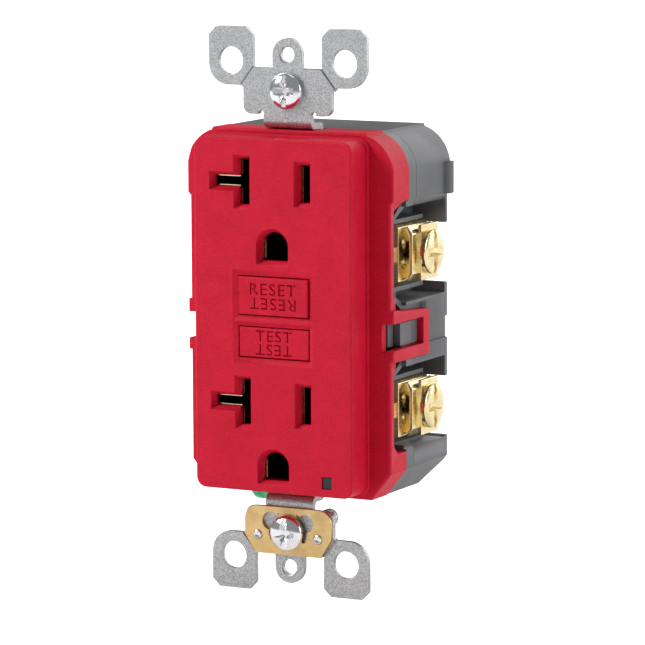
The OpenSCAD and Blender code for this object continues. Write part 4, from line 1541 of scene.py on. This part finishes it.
@dataclass
class Studio:
    """The pale floor, the soft light and the camera.

    Attributes:
        azimuth: How far the camera stands round to the right, in degrees.
        elevation: How far it stands above the level, in degrees.
        roll: How far the picture leans, in degrees.
        distance: Distance from the aim point, in millimetres.
        aim: The aim point, in millimetres.
        lens: Focal length on a 36 mm sensor.
        ambient: Strength of the even light all round.
        lights: The soft lights.
    """

    azimuth: float = 27.409
    elevation: float = 7.931
    roll: float = -0.235
    distance: float = 764.6
    aim: Colour = (3.075, 8.0, -2.576)
    lens: float = 226.13
    ambient: float = 0.26
    lights: list[SoftLight] = field(
        default_factory=lambda: [
            SoftLight("key", (-0.77, -0.54, 0.66), 0.42, 11.5),
            SoftLight("fill", (1.0, 0.15, 0.3), 0.5, 4.0),
            SoftLight("backdrop", (0.35, 1.3, 0.4), 1.5, 12.0),
            SoftLight("overhead", (0.05, 0.35, 1.1), 0.6, 2.5),
        ]
    )

    def floor(self) -> None:
        """Builds the pale floor under the object."""
        bm = bmesh.new()
        bmesh.ops.create_grid(bm, x_segments=1, y_segments=1, size=8.0)
        bmesh.ops.translate(bm, vec=(0, 0, CAD_BOX[0].z), verts=bm.verts)
        mesh = bpy.data.meshes.new("floor")
        bm.to_mesh(mesh)
        bm.free()
        bench = Bench("floor_paper", {"Roughness": 0.9, "Specular IOR Level": 0.1})
        paper = bench.spread(bench.noise(6.0, 3.0), 0, 1, 0.0, 1.0)
        colour = bench.mix(paper, rgba((0.93, 0.93, 0.93)), rgba((0.95, 0.95, 0.95)))
        bench.feed(bench.shader, "Base Color", colour)
        bench.feed(bench.shader, "Emission Color", rgba((1.0, 1.0, 1.0)))
        seen = bench.add("ShaderNodeLightPath").outputs["Is Camera Ray"]
        bench.feed(bench.shader, "Emission Strength", bench.math("MULTIPLY", seen, 0.75))
        mesh.materials.append(bench.material)
        ground = bpy.data.objects.new("floor", mesh)
        bpy.context.scene.collection.objects.link(ground)

    def surroundings(self) -> None:
        """Builds the even white light all round."""
        world = bpy.data.worlds.new("white_tent")
        world.use_nodes = True
        tent = Tree(world.node_tree)
        background = world.node_tree.nodes["Background"]
        background.inputs[0].default_value = (1.0, 1.0, 1.0, 1.0)
        seen = tent.add("ShaderNodeLightPath").outputs["Is Camera Ray"]
        tent.feed(background, 1, tent.spread(seen, 0.0, 1.0, self.ambient, 1.0))
        scene = bpy.context.scene
        scene.world = world
        scene.view_settings.view_transform = "Standard"
        scene.view_settings.look = "None"

    def camera(self) -> None:
        """Builds the camera."""
        turn, rise, lean = (
            math.radians(a) for a in (self.azimuth, self.elevation, self.roll)
        )
        right = Vector((math.cos(turn), math.sin(turn), 0))
        back = Vector(
            (
                math.sin(turn) * math.cos(rise),
                -math.cos(turn) * math.cos(rise),
                math.sin(rise),
            )
        )
        up = back.cross(right)
        across = right * math.cos(lean) + up * math.sin(lean)
        upward = up * math.cos(lean) - right * math.sin(lean)
        matrix = Matrix((across, upward, back)).transposed().to_4x4()
        matrix.translation = (Vector(self.aim) + back * self.distance) * MM
        data = bpy.data.cameras.new("camera")
        data.sensor_width = 36.0
        data.lens = self.lens
        data.clip_start = 0.05
        data.clip_end = 50.0
        camera = bpy.data.objects.new("camera", data)
        camera.matrix_world = matrix
        bpy.context.scene.collection.objects.link(camera)
        bpy.context.scene.camera = camera

    def build(self) -> None:
        """Builds the studio."""
        self.floor()
        self.surroundings()
        target = Vector(self.aim) * MM
        for light in self.lights:
            light.build(target)
        self.camera()


def main() -> None:
    """Builds the receptacle and its studio."""
    logging.basicConfig(level=logging.INFO, format="%(message)s")
    Cover().build()
    PushButton("reset_button", "RESET", 9.7).build(Finish.RED)
    PushButton("test_button", "TEST", 7.6, 2.1, 1.28).build(Finish.RED)
    Housing().build()
    Yoke().build()
    for row in ("upper", "lower"):
        Terminal(row, "hot", Finish.BRIGHT_BRASS).build()
        Terminal(row, "neutral", Finish.NICKEL).build()
    Works().build()
    Studio().build()


if __name__ == "__main__":
    main()
